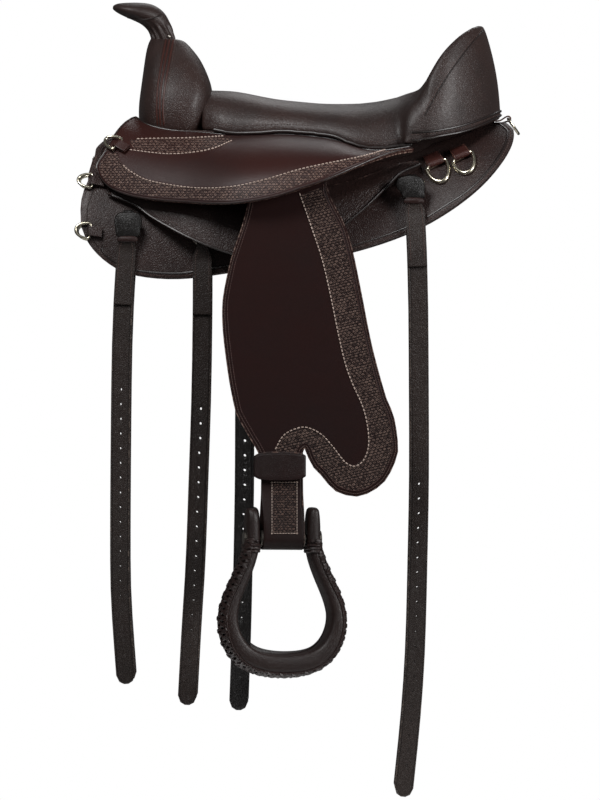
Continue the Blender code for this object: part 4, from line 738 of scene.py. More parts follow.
@dataclass(frozen=True)
class FibreFinish:
    """Felt or thread: matte fibres with a soft edge light."""

    name: str
    slot: str
    colour: Colour
    deep: Colour
    roughness: float = 0.85
    fuzz: float = 0.3
    fibres: float = 900.0
    relief: float = 0.5 * MM

    def made(self, effects: Effects) -> bpy.types.Material:
        """Build the material from noise of two sizes."""
        material = bpy.data.materials.new(self.name)
        material.use_nodes = True
        w = Wiring(material.node_tree)
        shader = next(n for n in w.tree.nodes if n.type == "BSDF_PRINCIPLED")
        shader.inputs["Sheen Weight"].default_value = self.fuzz
        fibre = w.noise(self.fibres, 4.0, 0.7)
        tuft = w.noise(self.fibres * 0.08, 3.0)
        share = w.ramp(w.sum("ADD", w.sum("MULTIPLY", fibre, 0.6), w.sum("MULTIPLY", tuft, 0.4)), 0.35, 0.65)
        w.feed(shader.inputs["Base Color"], w.mix(share, self.deep, self.colour))
        w.feed(shader.inputs["Roughness"], w.sum("ADD", w.sum("MULTIPLY", tuft, 0.1), self.roughness))
        bump = w.node("ShaderNodeBump")
        bump.inputs["Distance"].default_value = self.relief
        w.feed(bump.inputs["Height"], w.sum("ADD", fibre, tuft))
        w.feed(shader.inputs["Normal"], bump.outputs["Normal"])
        return material


DARK = srgb(24, 17, 16)
RUBBED = srgb(128, 100, 92)
SOFT = LeatherFinish("soft_grain_leather", "grained_leather", srgb(60, 42, 38), DARK, srgb(110, 90, 82),
                     roughness=0.36, gloss=0.45, wax=0.12, pebbles=430.0, crease=0.2, relief=0.46 * MM)
SKIRTING = LeatherFinish("skirting_leather", "grained_leather", srgb(56, 38, 35), DARK, RUBBED,
                         roughness=0.36, gloss=0.42, wax=0.1, pebbles=430.0, crease=0.3, relief=0.46 * MM,
                         edge_bead=9 * MM)
PADDED = LeatherFinish("flap_leather", "grained_leather", srgb(54, 38, 35), DARK, RUBBED,
                       roughness=0.36, gloss=0.42, wax=0.1, pebbles=400.0, crease=0.5, relief=0.55 * MM)
# JOCKEY, FENDER and LEATHERS are stamped: their third colour is also the painted highlight on the raised
# stamping
JOCKEY = LeatherFinish("jockey_leather", "smooth_leather", srgb(58, 29, 25), srgb(30, 14, 13),
                       srgb(176, 146, 132),
                       roughness=0.33, gloss=0.3, pebbles=900.0, crease=0.12, relief=0.20 * MM,
                       wear=0.8, patches=5.0, tooling=Tooling.STAMPED, cell=5.2 * MM, edge_bead=3.4 * MM)
FENDER = LeatherFinish("fender_leather", "smooth_leather", srgb(42, 19, 17), srgb(18, 8, 8),
                       srgb(160, 134, 122),
                       roughness=0.36, gloss=0.22, wax=0.0, pebbles=900.0, crease=0.12, relief=0.20 * MM,
                       wear=0.7, patches=4.0, tooling=Tooling.STAMPED, cell=5.6 * MM,
                       turn=math.radians(13), edge_bead=4.2 * MM)
LEATHERS = LeatherFinish("stirrup_strap_leather", "smooth_leather", srgb(38, 20, 18), srgb(18, 9, 8),
                         srgb(140, 112, 100), roughness=0.36, gloss=0.24, wax=0.0, pebbles=850.0, crease=0.15,
                         relief=0.22 * MM, tooling=Tooling.STAMPED, cell=5.0 * MM, edge_bead=3.0 * MM)
TAB = LeatherFinish("tab_leather", "smooth_leather", srgb(74, 36, 30), srgb(38, 19, 17), srgb(150, 108, 92),
                    roughness=0.36, pebbles=850.0, crease=0.15, relief=0.2 * MM, edge_bead=2.2 * MM)
CAP = LeatherFinish("cap_leather", "smooth_leather", srgb(48, 27, 24), srgb(24, 13, 12), srgb(120, 92, 82),
                    roughness=0.38, gloss=0.3, pebbles=850.0, crease=0.15, relief=0.2 * MM)
KEEPER = LeatherFinish("keeper_leather", "smooth_leather", srgb(42, 22, 20), srgb(20, 10, 9),
                       srgb(130, 98, 86),
                       roughness=0.3, gloss=0.3, wax=0.1, pebbles=850.0, crease=0.15, relief=0.22 * MM,
                       edge_bead=2.6 * MM)
STIRRUP = LeatherFinish("stirrup_leather", "smooth_leather", srgb(42, 27, 24), srgb(20, 12, 11),
                        srgb(110, 84, 76),
                        roughness=0.32, gloss=0.4, wax=0.12, pebbles=760.0, crease=0.25, relief=0.26 * MM)
STRAP = LeatherFinish("girth_strap_leather", "strap_leather", srgb(50, 39, 35), srgb(20, 15, 13),
                      srgb(120, 106, 96),
                      roughness=0.40, gloss=0.36, pebbles=460.0, crease=0.3, relief=0.45 * MM,
                      wear=0.6, patches=3.0, edge_bead=2.6 * MM)
BLACK = LeatherFinish("black_strap_leather", "strap_leather", srgb(26, 22, 21), srgb(11, 10, 9),
                      srgb(90, 84, 80),
                      roughness=0.3, gloss=0.45, wax=0.15, pebbles=600.0, crease=0.15, relief=0.34 * MM,
                      patches=3.0, edge_bead=2.4 * MM)
WELT = LeatherFinish("welt_leather", "smooth_leather", srgb(80, 42, 34), srgb(36, 18, 16), srgb(150, 105, 90),
                     roughness=0.34, wax=0.15, pebbles=1100.0, crease=0.1, relief=0.12 * MM)
PIPING = LeatherFinish("piping_leather", "grained_leather", srgb(42, 30, 28), srgb(18, 13, 12),
                       srgb(110, 92, 84),
                       roughness=0.27, gloss=0.5, wax=0.4, pebbles=900.0, crease=0.1, relief=0.12 * MM)
LACE = LeatherFinish("lacing_leather", "smooth_leather", srgb(46, 28, 25), srgb(20, 12, 11),
                     srgb(104, 80, 72),
                     roughness=0.34, gloss=0.45, wax=0.1, pebbles=1000.0, crease=0.2, relief=0.15 * MM)
FELT = FibreFinish("panel_felt", "panel_felt", srgb(52, 47, 44), srgb(26, 23, 22))
THREAD = FibreFinish("waxed_thread", "smooth_leather", srgb(206, 186, 174), srgb(150, 128, 116),
                     roughness=0.6, fuzz=0.1, fibres=2500.0, relief=0.08 * MM)
DARK_THREAD = FibreFinish("dark_thread", "smooth_leather", srgb(92, 66, 58), srgb(52, 36, 32),
                          roughness=0.65, fuzz=0.1, fibres=2500.0, relief=0.08 * MM)
RED_THREAD = FibreFinish("red_thread", "smooth_leather", srgb(84, 52, 46), srgb(46, 28, 25),
                         roughness=0.65, fuzz=0.1, fibres=2500.0, relief=0.08 * MM)
NICKEL = MetalFinish("dee_nickel", "nickel", srgb(226, 219, 198))
BLACKENED = MetalFinish("blackened_ring", "nickel", srgb(74, 71, 68), roughness=0.24)
STEEL = MetalFinish("bolt_steel", "steel", srgb(150, 145, 138), roughness=0.28)
Finish = LeatherFinish | MetalFinish | FibreFinish


class Workshop:
    """Makes pieces from meshes, dresses them and hangs them on their bodies."""

    def __init__(self, frame: dict) -> None:
        """Args:
        """
        self.frame = frame
        self.effects = Effects()
        self.materials: dict[str, bpy.types.Material] = {}
        bodies = frame["record"]["behaviour"]["bodies"]
        self.bodies = {node: body for body, nodes in bodies.items() for node in nodes}

    def material(self, finish: Finish) -> bpy.types.Material:
        """The material of a finish, built the first time it is asked for."""
        if finish.name not in self.materials:
            self.materials[finish.name] = finish.made(self.effects)
        return self.materials[finish.name]

    def skin(self, node: str) -> bmesh.types.BMesh:
        """A node's mesh with its faces joined into one skin."""
        shape = bmesh.new()
        shape.from_mesh(self.frame["nodes"][node].data)
        bmesh.ops.remove_doubles(shape, verts=shape.verts, dist=WELD_GAP)
        shape.normal_update()
        return shape

    def welded(self, node: str) -> bmesh.types.BMesh:
        """A node's skin with its triangles paired into four-sided faces."""
        shape = self.skin(node)
        bmesh.ops.join_triangles(shape, faces=shape.faces, angle_face_threshold=math.radians(35),
                                 angle_shape_threshold=math.radians(60))
        return shape

    def patches(self, shape: bmesh.types.BMesh, degrees: float = 45) -> list[list[bmesh.types.BMFace]]:
        """The faces of a mesh sorted into patches between its sharp edges, the widest first."""
        waiting = dict.fromkeys(shape.faces)
        found = []
        while waiting:
            patch = [waiting.popitem()[0]]
            for face in patch:
                for edge in face.edges:
                    if len(edge.link_faces) != 2 or edge.calc_face_angle(0.0) > math.radians(degrees):
                        continue
                    for other in edge.link_faces:
                        if other in waiting:
                            del waiting[other]
                            patch.append(other)
            found.append(patch)
        return sorted(found, key=lambda patch: -sum(face.calc_area() for face in patch))

    def rims(self, node: str) -> list[Line]:
        """The closed outlines of a sheet's two broad faces.

        Args:
            node: the node that is the sheet.

        Returns:
            Two lines without their repeated start, the outer face's first. Each starts at its
            foremost point and rises from there.
        """
        shape = self.skin(node)
        out = (Side.LEFT if node.endswith("left") else Side.RIGHT).out
        broad = self.patches(shape)[:2]
        broad.sort(key=lambda patch: -sum(face.calc_area() * face.normal.dot(out) for face in patch))
        lines = []
        for patch in broad:
            inside = dict.fromkeys(patch)
            line = chained(e for e in shape.edges if sum(f in inside for f in e.link_faces) == 1)[0][:-1]
            first = min(range(len(line)), key=lambda i: line[i].x)
            line = line[first:] + line[:first]
            lines.append(line if line[1].z > line[-1].z else line[:1] + line[:0:-1])
        shape.free()
        return lines

    def refined(self, shape: bmesh.types.BMesh, levels: int, crease: float = 50,
                round_edge: float = 0.0, swell: float = 0.0) -> bmesh.types.BMesh:
        """Smooth a mesh by subdivision.

        Args:
            shape: the mesh, which is used up.
            levels: how many times each face is divided.
            crease: the least turn in degrees that stays an edge.
            round_edge: how far those edges are rounded over.
            swell: how far the skin is moved out, to make up for the smoothing.

        Returns:
            The smoothed mesh.
        """
        layer = shape.edges.layers.float.new("crease_edge")
        for edge in shape.edges:
            if len(edge.link_faces) == 2 and edge.calc_face_angle(0.0) > math.radians(crease):
                edge[layer] = 1.0
        mesh = bpy.data.meshes.new("smoothing")
        shape.to_mesh(mesh)
        shape.free()
        temporary = bpy.data.objects.new("smoothing", mesh)
        bpy.context.scene.collection.objects.link(temporary)
        smooth = temporary.modifiers.new("smooth", "SUBSURF")
        smooth.levels = smooth.render_levels = levels
        if round_edge:
            edge_round = temporary.modifiers.new("edge", "BEVEL")
            edge_round.width = round_edge
            edge_round.segments = 2
            edge_round.limit_method = "ANGLE"
            edge_round.angle_limit = math.radians(crease)
        evaluated = temporary.evaluated_get(bpy.context.evaluated_depsgraph_get())
        made = bmesh.new()
        made.from_mesh(evaluated.to_mesh())
        bpy.data.objects.remove(temporary)
        bpy.data.meshes.remove(mesh)
        if swell:
            made.normal_update()
            moves = [(v, v.normal.copy()) for v in made.verts]
            for vertex, normal in moves:
                vertex.co += normal * swell
        return made

    def fused(self, shapes: Sequence[bmesh.types.BMesh], grid: float, rounds: int) -> bmesh.types.BMesh:
        """Join closed forms under one smooth skin.

        Args:
            shapes: the forms, which are used up.
            grid: the size of the new faces.
            rounds: how often the skin is smoothed.

        Returns:
            The one skin.
        """
        whole = bpy.data.meshes.new("fusing")
        joined = bmesh.new()
        for shape in shapes:
            shape.to_mesh(whole)
            shape.free()
            joined.from_mesh(whole)
        joined.to_mesh(whole)
        joined.free()
        temporary = bpy.data.objects.new("fusing", whole)
        bpy.context.scene.collection.objects.link(temporary)
        skin = temporary.modifiers.new("skin", "REMESH")
        skin.mode = "VOXEL"
        skin.voxel_size = grid
        relax = temporary.modifiers.new("relax", "SMOOTH")
        relax.factor = 0.5
        relax.iterations = rounds
        evaluated = temporary.evaluated_get(bpy.context.evaluated_depsgraph_get())
        made = bmesh.new()
        made.from_mesh(evaluated.to_mesh())
        bpy.data.objects.remove(temporary)
        bpy.data.meshes.remove(whole)
        return made

    def add(self, name: str, shape: bmesh.types.BMesh, finish: Finish, body: str,
            stands_for: Sequence[str] = (), readings: dict[str, np.ndarray] | None = None,
            sharp: float = 38) -> bpy.types.Object:
        """Turn a mesh into a piece of the saddle.

        Args:
            name: the piece's name.
            shape: its mesh, which is used up.
            finish: what it is made of.
            body: the body that it moves with.
            stands_for: the nodes that it is shown in place of.
            readings: numbers for each vertex that the finish reads.
            sharp: the least turn in degrees that shows as an edge.

        Returns:
            The new object.
        """
        shape.normal_update()
        for face in shape.faces:
            face.smooth = True
        for edge in shape.edges:
            edge.smooth = not (len(edge.link_faces) == 2
                               and edge.calc_face_angle(0.0) > math.radians(sharp))
        mesh = bpy.data.meshes.new(name)
        shape.to_mesh(mesh)
        shape.free()
        values = {"rim": np.full(len(mesh.vertices), 1.0)}
        values.update(readings or {})
        for key, numbers in values.items():
            mesh.attributes.new(key, "FLOAT", "POINT").data.foreach_set(
                "value", np.asarray(numbers, np.float32))
        mesh.materials.append(self.material(finish))
        made = bpy.data.objects.new(name, mesh)
        bpy.context.scene.collection.objects.link(made)
        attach(made, body)
        if stands_for:
            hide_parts(*stands_for)
        LOG.info("%s: %d faces in %s", name, len(mesh.polygons), finish.name)
        return made

    def metal(self, node: str, finish: Finish) -> None:
        """Give a node that keeps its shape its metal."""
        slots = self.frame["nodes"][node].data.materials
        slots.clear()
        slots.append(self.material(finish))

    def places(self, shape: bmesh.types.BMesh) -> np.ndarray:
        """The vertices of a mesh as rows of x, y and z."""
        return np.array([v.co for v in shape.verts], float).reshape(-1, 3)

    def rim_reading(self, shape: bmesh.types.BMesh, rims: Sequence[Line]) -> np.ndarray:
        """Each vertex's distance from the nearest rim."""
        points = [p for line in rims
                  for p in evened(line, 2.5 * MM, True)]
        tree = KDTree(max(len(points), 1))
        for i, point in enumerate(points):
            tree.insert(point, i)
        tree.balance()
        return np.array([tree.find(v.co)[2] if points else 1.0 for v in shape.verts])

    def tube(self, name: str, lines: Sequence[Line], radius: float, finish: Finish, body: str,
             closed: bool = False, sides: int = 8) -> bpy.types.Object:
        """A piping, bead or cord along one or several lines."""
        shape = bmesh.new()
        for line in lines:
            sweep(line, radius, sides, closed, shape=shape)
        return self.add(name, shape, finish, body)

    def stitches(self, name: str, rows: Sequence[tuple[Line, Line]], body: str,
                 finish: Finish, pitch: float = 4.2 * MM, length: float = 2.6 * MM,
                 width: float = 0.9 * MM, closed: bool = False,
                 gaps: float = 1.0) -> bpy.types.Object:
        """Rows of single stitches.

        Args:
            name: the piece's name.
            rows: each row's line and the outward direction along it.
            body: the body that it moves with.
            finish: the thread.
            pitch: the distance from stitch to stitch.
            length: the length of a stitch.
            width: the thickness of the thread.
            closed: whether the rows come back to their starts.
            gaps: the longest gap between a row's points that stitches bridge.

        Returns:
            The object that holds every stitch.
        """
        shape = bmesh.new()
        parts = []
        for line, normals in rows:
            cuts = [i for i in range(1, len(line)) if (line[i] - line[i - 1]).length > gaps]
            parts += [(line[a:b], normals[a:b]) for a, b in zip([0] + cuts, cuts + [len(line)])]
        for line, normals in parts:
            if len(line) < 3:
                continue
            even = evened(line, pitch, closed)
            tree = KDTree(len(line))
            for i, point in enumerate(line):
                tree.insert(point, i)
            tree.balance()
            for place, run in zip(even, runs(even, closed)):
                normal = normals[tree.find(place)[1]]
                rise = normal * width * 0.35
                half = run * length / 2
                sweep([place - half, place - half * 0.55 + rise, place + half * 0.55 + rise, place + half],
                      width / 2, 5, shape=shape)
        return self.add(name, shape, finish, body)


CLOTH_FRAMES = 12
CLOTH_QUALITY = 4
STRETCH_STIFFNESS = 40
SHEAR_STIFFNESS = 20
BENDING_STIFFNESS = 6


def swollen(piece: bpy.types.Object, pressure: float, cap: float) -> None:
    """Let a padded piece fill out as stuffed leather does, by a short cloth simulation.

    Args:
        piece: the piece, whose mesh is changed.
        pressure: the push of the filling.
        cap: the farthest that any point may move.
    """
    scene = bpy.context.scene
    bpy.context.view_layer.update()
    still = np.array([v.co for v in piece.data.vertices])
    cloth = piece.modifiers.new("filling", "CLOTH")
    settings = cloth.settings
    settings.use_pressure = True
    settings.uniform_pressure_force = pressure
    settings.effector_weights.gravity = 0.0
    settings.quality = CLOTH_QUALITY
    settings.tension_stiffness = settings.compression_stiffness = STRETCH_STIFFNESS
    settings.shear_stiffness = SHEAR_STIFFNESS
    settings.bending_stiffness = BENDING_STIFFNESS
    for step in range(1, CLOTH_FRAMES + 1):
        scene.frame_set(step)
    evaluated = piece.evaluated_get(bpy.context.evaluated_depsgraph_get())
    moved = np.array([v.co for v in evaluated.data.vertices])
    piece.modifiers.remove(cloth)
    scene.frame_set(1)
    if moved.shape != still.shape or not np.isfinite(moved).all():
        LOG.warning("%s keeps its first form", piece.name)
        return
    push = moved - still
    far = np.linalg.norm(push, axis=1)
    push *= (np.minimum(far, cap) / np.maximum(far, 1e-9))[:, None]
    piece.data.vertices.foreach_set("co", (still + push).astype(np.float32).ravel())
    piece.data.update()
    LOG.info("%s filled out by up to %.1f mm", piece.name, float(np.minimum(far, cap).max()) / MM)


# Sub-assemblies

@dataclass
class Sheeting:
    """Cut leather: panels, skirts and the flaps between them, on both sides."""

    shop: Workshop
    rim_step: float = 5 * MM
    panel_filling: float = 0.6
    most_swell: float = 2.0 * MM
    skirt_bead: float = 9 * MM
    bead_step: float = 6 * MM
    bead_radius: float = 1.1 * MM
    thread_gap: float = 4 * MM
    flap_edge: float = 0.8 * MM
    flap_thread: float = 9 * MM
    flap_piping: float = 2.0 * MM
    tab_reach: float = 34 * MM
    flap_middle: Pixels = ((100, 180), (130, 200), (200, 225), (260, 222), (330, 200), (380, 178), (430, 160))
    flap_filling: float = 2.2

    def build(self) -> None:
        """Make every layer below the seat."""
        for side in Side:
            self.panel(side)
            self.skirt(side)
            self.flap(side)

    def sheet(self, node: str, name: str, finish: Finish, levels: int, round_edge: float) -> tuple[
            bpy.types.Object, list[Line], Hide]:
        """A smoothed sheet in place of a node.

        Args:
            node: the node it stands for.
            name: the new piece's name.
            finish: what it is made of.
            levels: how many times its faces are divided.
            round_edge: how far its cut edge is rounded.

        Returns:
            The piece, its rims with the outer one first, and its surface.
        """
        rims = self.shop.rims(node)
        shape = self.shop.refined(self.shop.welded(node), levels, round_edge=round_edge)
        hide = Hide(shape)
        readings = {"rim": self.shop.rim_reading(shape, rims)}
        piece = self.shop.add(name, shape, finish, self.shop.bodies[node], [node], readings)
        return piece, [evened(line, self.rim_step, True) for line in rims], hide

    def panel(self, side: Side) -> None:
        """The felt pad that lies on the horse."""
        node = "panel_" + side.hand
        piece, _, _ = self.sheet(node, "felt_panel_" + side.hand, FELT, 2, 5 * MM)
        swollen(piece, self.panel_filling, self.most_swell)

    def skirt(self, side: Side) -> None:
        """The skirt with a stitched bead inside its edge."""
        node = "skirt_" + side.hand
        _, rims, hide = self.sheet(node, "skirt_leather_" + side.hand, SKIRTING, 2, 1.6 * MM)
        body = self.shop.bodies[node]
        dees = [sum(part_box(f"front_{mark}_dee_{side.hand}"), Vector()) / 2 for mark in ("middle", "lower")]
        rim = evened([p for p in rims[0] if not any((p - dee).length < self.tab_reach for dee in dees)],
                     self.rim_step, True)
        bead, _ = hide.inset(rim, self.skirt_bead, side, 0.1 * MM)
        self.shop.tube("skirt_bead_" + side.hand, [evened(bead, self.bead_step, True)], self.bead_radius,
                       PIPING, body, closed=True, sides=6)
        row = hide.inset(rim, self.skirt_bead - self.thread_gap, side)
        self.shop.stitches("skirt_stitches_" + side.hand, [row], body, DARK_THREAD, closed=True)

    def flap(self, side: Side) -> None:
        """The padded flap over the girth rigging, with a piped edge."""
        node = "rigging_flap_" + side.hand
        piece, rims, hide = self.sheet(node, "padded_flap_" + side.hand, PADDED, 2, 2.4 * MM)
        swollen(piece, self.flap_filling, self.most_swell)
        body = self.shop.bodies[node]
        level = evened([Vector((x, 0, z)) for x, z in PHOTO.line(self.flap_middle)], self.rim_step)
        for name, distance in (("piping", self.flap_edge), ("stitches", self.flap_thread)):
            line, ups = hide.inset(rims[0], distance, side)
            lower = [i for i, p in enumerate(line) if p.z < min(level, key=lambda q: abs(q.x - p.x)).z]
            start = next(i for i, j in enumerate(lower) if lower[i - 1] != (j - 1) % len(line))
            kept = lower[start:] + lower[:start]
            if name == "piping":
                self.shop.tube("flap_piping_" + side.hand, [evened([line[i] for i in kept], self.rim_step)],
                               self.flap_piping, PIPING, body)
            else:
                self.shop.stitches("flap_stitches_" + side.hand,
                                   [([line[i] for i in kept], [ups[i] for i in kept])], body, DARK_THREAD)


@dataclass
class Jockeys:
    """The bowed seat jockeys with their stamped borders."""

    shop: Workshop
    border: Pixels = ((96, 152), (118, 152), (121, 163), (130, 171), (150, 180.5), (192, 187.5),
                      (229, 187), (262, 180.5), (304, 168.5), (361, 156.5), (392, 147.5), (420, 140),
                      (424, 160), (330, 200), (200, 220), (90, 200))
    collar: Pixels = ((128, 139), (146, 139.5), (175, 138.5), (208, 137.5), (234, 135.5), (229, 141.5),
                      (210, 148.5), (190, 152.5), (165, 153.5), (133, 149.5))
    border_row: Pixels = ((124, 166), (130.5, 171.5), (150, 181), (192, 188), (229, 187.5), (262, 181),
                          (304, 169), (361, 157), (388, 149))
    collar_row: Pixels = ((138, 139), (160, 138.5), (190, 138), (222, 136))
    collar_lower_row: Pixels = ((131, 150), (165, 154), (190, 153), (212, 149), (231, 141))
    border_inset: float = 5 * MM
    row_step: float = 2.2 * MM
    edge_step: float = 4 * MM
    edge_inset: float = 1.2 * MM
    edge_radius: float = 0.9 * MM

    def build(self) -> None:
        """Make both jockeys."""
        for side in Side:
            self.jockey(side)

    def jockey(self, side: Side) -> None:
        """One jockey with its stamping, stitching and edge bead."""
        node = "seat_jockey_" + side.hand
        body = self.shop.bodies[node]
        rims = self.shop.rims(node)
        shape = self.shop.refined(self.shop.welded(node), 3, round_edge=1.5 * MM)
        hide = Hide(shape)
        flat = self.shop.places(shape)[:, [0, 2]]
        band = np.maximum(polygon_distance(flat, PHOTO.line(self.border)),
                          polygon_distance(flat, PHOTO.line(self.collar)))
        rim = self.shop.rim_reading(shape, rims)
        band = np.minimum(band, rim - self.border_inset)
        self.shop.add("jockey_" + side.hand, shape, JOCKEY, body, [node], {"rim": rim, "band": band})
        rows = [hide.laid(side, pixels, self.row_step)
                for pixels in (self.border_row, self.collar_row, self.collar_lower_row)]
        self.shop.stitches("jockey_stitches_" + side.hand, rows, body, THREAD, pitch=5.3 * MM,
                           length=2.7 * MM, width=1.7 * MM)
        low, _ = hide.inset(evened(rims[0], self.edge_step, True), self.edge_inset, side)
        self.shop.tube("jockey_edge_" + side.hand, [low], self.edge_radius, PIPING, body, closed=True,
                       sides=6)


@dataclass
class Seat:
    """The cushioned seat, the firm bed under it, the pommel, the horn and the cantle."""

    shop: Workshop
    seat_filling: float = 2.0
    seat_swell: float = 3.0 * MM
    seat_tuck: float = 14 * MM
    tuck_length: float = 22 * MM
    tuck_narrowing: float = 0.16
    pommel_drop: float = 1.28
    pommel_row: float = 112
    join: float = 9 * MM
    join_row: float = 141
    join_reach: float = 21 * MM
    join_rounds: int = 45
    cover_grid: float = 2.6 * MM
    cover_rounds: int = 8
    roll_step: float = 6 * MM
    roll_drop_share: float = 0.35
    thread_rise: float = 9 * MM
    thread_step: float = 4 * MM
    cover: Hide | None = None
    piping: float = 2.7 * MM
    welt: float = 1.55 * MM
    welt_lines: tuple[Pixels, ...] = (
        ((165.5, 39), (162.5, 55), (159.6, 72), (157.4, 90), (156.6, 110), (158, 131)),
        ((169, 39), (166, 55), (163, 72), (160.4, 90), (159.6, 110), (161, 131.5)),
        ((173, 39), (170, 55), (167, 72), (164.2, 90), (162.8, 110), (164.4, 132)),
    )
    cantle_seam: Pixels = ((484, 29), (475, 39), (466, 50), (450, 72), (436, 95), (425, 115))
    foot_levels: tuple[tuple[float, float], ...] = ((132, 110), (140, 114))
    horn_rim: tuple[Pixels, ...] = (((112, 11), (125, 15.5), (140, 18), (152, 17), (161, 13)),)

    def build(self) -> None:
        """Make the upper part of the saddle."""
        self.bed()
        self.cushion()
        self.pommel()
        self.horn()
        self.cantle()

    def smoothed(self, node: str, name: str, finish: Finish, levels: int, crease: float,
                 swell: float = 0.0, round_edge: float = 0.0,
                 pleats: Callable[[bmesh.types.BMesh], None] | None = None) -> tuple[
                     bpy.types.Object, Hide]:
        """A stuffed form in place of a node.

        Args:
            node: the node it stands for.
            name: the new piece's name.
            finish: what it is made of.
            levels: how many times its faces are divided.
            crease: the least turn in degrees that stays an edge.
            swell: how far its skin is moved out.
            round_edge: how far its edges are rounded.
            pleats: a change to make to its mesh before it is dressed.

        Returns:
            The piece and its surface.
        """
        shape = self.shop.refined(self.shop.welded(node), levels, crease, round_edge, swell)
        if pleats:
            pleats(shape)
        hide = Hide(shape)
        return self.shop.add(name, shape, finish, "saddle", [node]), hide

    def bed(self) -> None:
        """The firm bed, which shows only as a line under the seat and the cantle."""
        self.smoothed("seat_bed", "seat_bed_cover", SOFT, 1, 60)

    def lowest_edge(self, shape: bmesh.types.BMesh, side: Side) -> Line:
        """The outermost line of the cushion on one side, from front to rear."""
        rows: dict[int, Vector] = {}
        for vertex in shape.verts:
            key = round(vertex.co.x / (1.0 * MM))
            best = rows.get(key)
            if vertex.co.y * side.value > 0 and (best is None or abs(vertex.co.y) > abs(best.y)):
                rows[key] = vertex.co.copy()
        return [rows[key] for key in sorted(rows)]

    def cushion(self) -> None:
        """The crowned seat with its rolled lower edge."""
        plain = self.shop.welded("seat_cushion")
        edges = {side: self.lowest_edge(plain, side) for side in Side}
        plain.free()
        seat = self.shop.refined(self.shop.welded("seat_cushion"), 2, 75, swell=1.2 * MM)
        front, rear = min(v.co.x for v in seat.verts), max(v.co.x for v in seat.verts)
        for vertex in seat.verts:
            share = max(1 - (vertex.co.x - front) / self.tuck_length, 0.0)
            vertex.co.x -= self.seat_tuck * share
            vertex.co.y *= 1 - self.tuck_narrowing * share * share
            if vertex.co.x > rear - 2 * MM:
                vertex.co.x += self.join
        cantle = self.shop.refined(self.shop.welded("cantle"), 2, 75, swell=1.9 * MM)
        for vertex in cantle.verts:
            if vertex.co.x < rear + 3 * MM:
                vertex.co.x -= self.join
        shape = self.shop.fused([seat, cantle], self.cover_grid, self.cover_rounds)
        foot = PHOTO.place(0, self.join_row)[1]
        joined = [v for v in shape.verts if abs(v.co.x - rear) < self.join_reach and v.co.z > foot]
        for _ in range(self.join_rounds):
            bmesh.ops.smooth_vert(shape, verts=joined, factor=0.5, use_axis_x=True, use_axis_y=True,
                                  use_axis_z=True)
        hide = self.cover = Hide(shape)
        piece = self.shop.add("seat_cover", shape, SOFT, "saddle", ["seat_cushion", "cantle"], sharp=70)
        swollen(piece, self.seat_filling, self.seat_swell)
        for side, line in edges.items():
            roll = [hide.snapped(p)[0] - UP * self.piping * self.roll_drop_share
                    for p in evened(line, self.roll_step)]
            self.shop.tube("seat_roll_" + side.hand, [roll], self.piping, PIPING, "saddle", sides=10)
            above = [hide.snapped(p + UP * self.thread_rise - side.out * 1 * MM)
                     for p in evened(line, self.thread_step)]
            self.shop.stitches("seat_stitches_" + side.hand, [([p for p, _ in above], [n for _, n in above])],
                               "saddle", DARK_THREAD, length=2.0 * MM, width=0.7 * MM)

    def pommel(self) -> None:
        """The stuffed pommel with three raised welts down each side."""
        piece, hide = self.smoothed("pommel_swell", "pommel_cover", SOFT, 3, 60, swell=0.5 * MM,
                                    round_edge=3 * MM)
        level = PHOTO.place(0, self.pommel_row)[1]
        for vertex in piece.data.vertices:
            if vertex.co.z < level:
                vertex.co.z = level - (level - vertex.co.z) * self.pommel_drop
        for side in Side:
            lines = [hide.laid(side, pixels, 4 * MM, lift=0.3 * MM)[0] for pixels in self.welt_lines]
            self.shop.tube("pommel_welts_" + side.hand, lines, self.welt, WELT, "saddle")
            rows = []
            for pixels in (self.welt_lines[0], self.welt_lines[2]):
                shift = -2.6 if pixels is self.welt_lines[0] else 2.6
                rows.append(hide.laid(side, [(x + shift, y) for x, y in pixels], 3 * MM))
            self.shop.stitches("pommel_stitches_" + side.hand, rows, "saddle", DARK_THREAD,
                               length=2.2 * MM, width=0.7 * MM)

    def horn(self) -> None:
        """The leather-wrapped horn with a pleated neck and a seam round its cap."""
        def pleat(shape: bmesh.types.BMesh) -> None:
            """Press folds into the neck below the cap."""
            top, foot = PHOTO.place(150, 21)[1], PHOTO.place(150, 44)[1]
            for vertex in shape.verts:
                x, y, z = vertex.co
                centre = PHOTO.place(161.5, 0)[0] + (z - foot) * -0.25
                share = min(max((top - z) / (8 * MM), 0.0), 1.0) * min(max((z - foot) / (6 * MM), 0.0), 1.0)
                angle = math.atan2(y, x - centre)
                reach = Vector((x - centre, y, 0.0)).normalized()
                vertex.co += reach * share * 1.2 * MM * (math.sin(angle * 11 + z * 180) - 0.3)

        _, hide = self.smoothed("horn", "horn_cover", SOFT, 3, 80, swell=0.6 * MM, pleats=pleat)
        for side in Side:
            lines = [hide.laid(side, pixels, 3 * MM)[0] for pixels in self.horn_rim]
            lines = [line for line in lines if len(line) > 2]
            self.shop.tube("horn_seam_" + side.hand, lines, 0.9 * MM, PIPING, "saddle", sides=6)
        shape = bmesh.new()
        for side in Side:
            place, normal = hide.seen(side, *PHOTO.place(169, 35)) or (None, None)
            if place is None:
                continue
            turn = normal.to_track_quat("Z", "Y").to_matrix().to_4x4()
            matrix = Matrix.Translation(place) @ turn @ Matrix.Diagonal((1, 1, 0.5, 1))
            bmesh.ops.create_uvsphere(shape, u_segments=16, v_segments=8, radius=2.6 * MM, matrix=matrix)
        self.shop.add("horn_studs", shape, STEEL, "saddle")

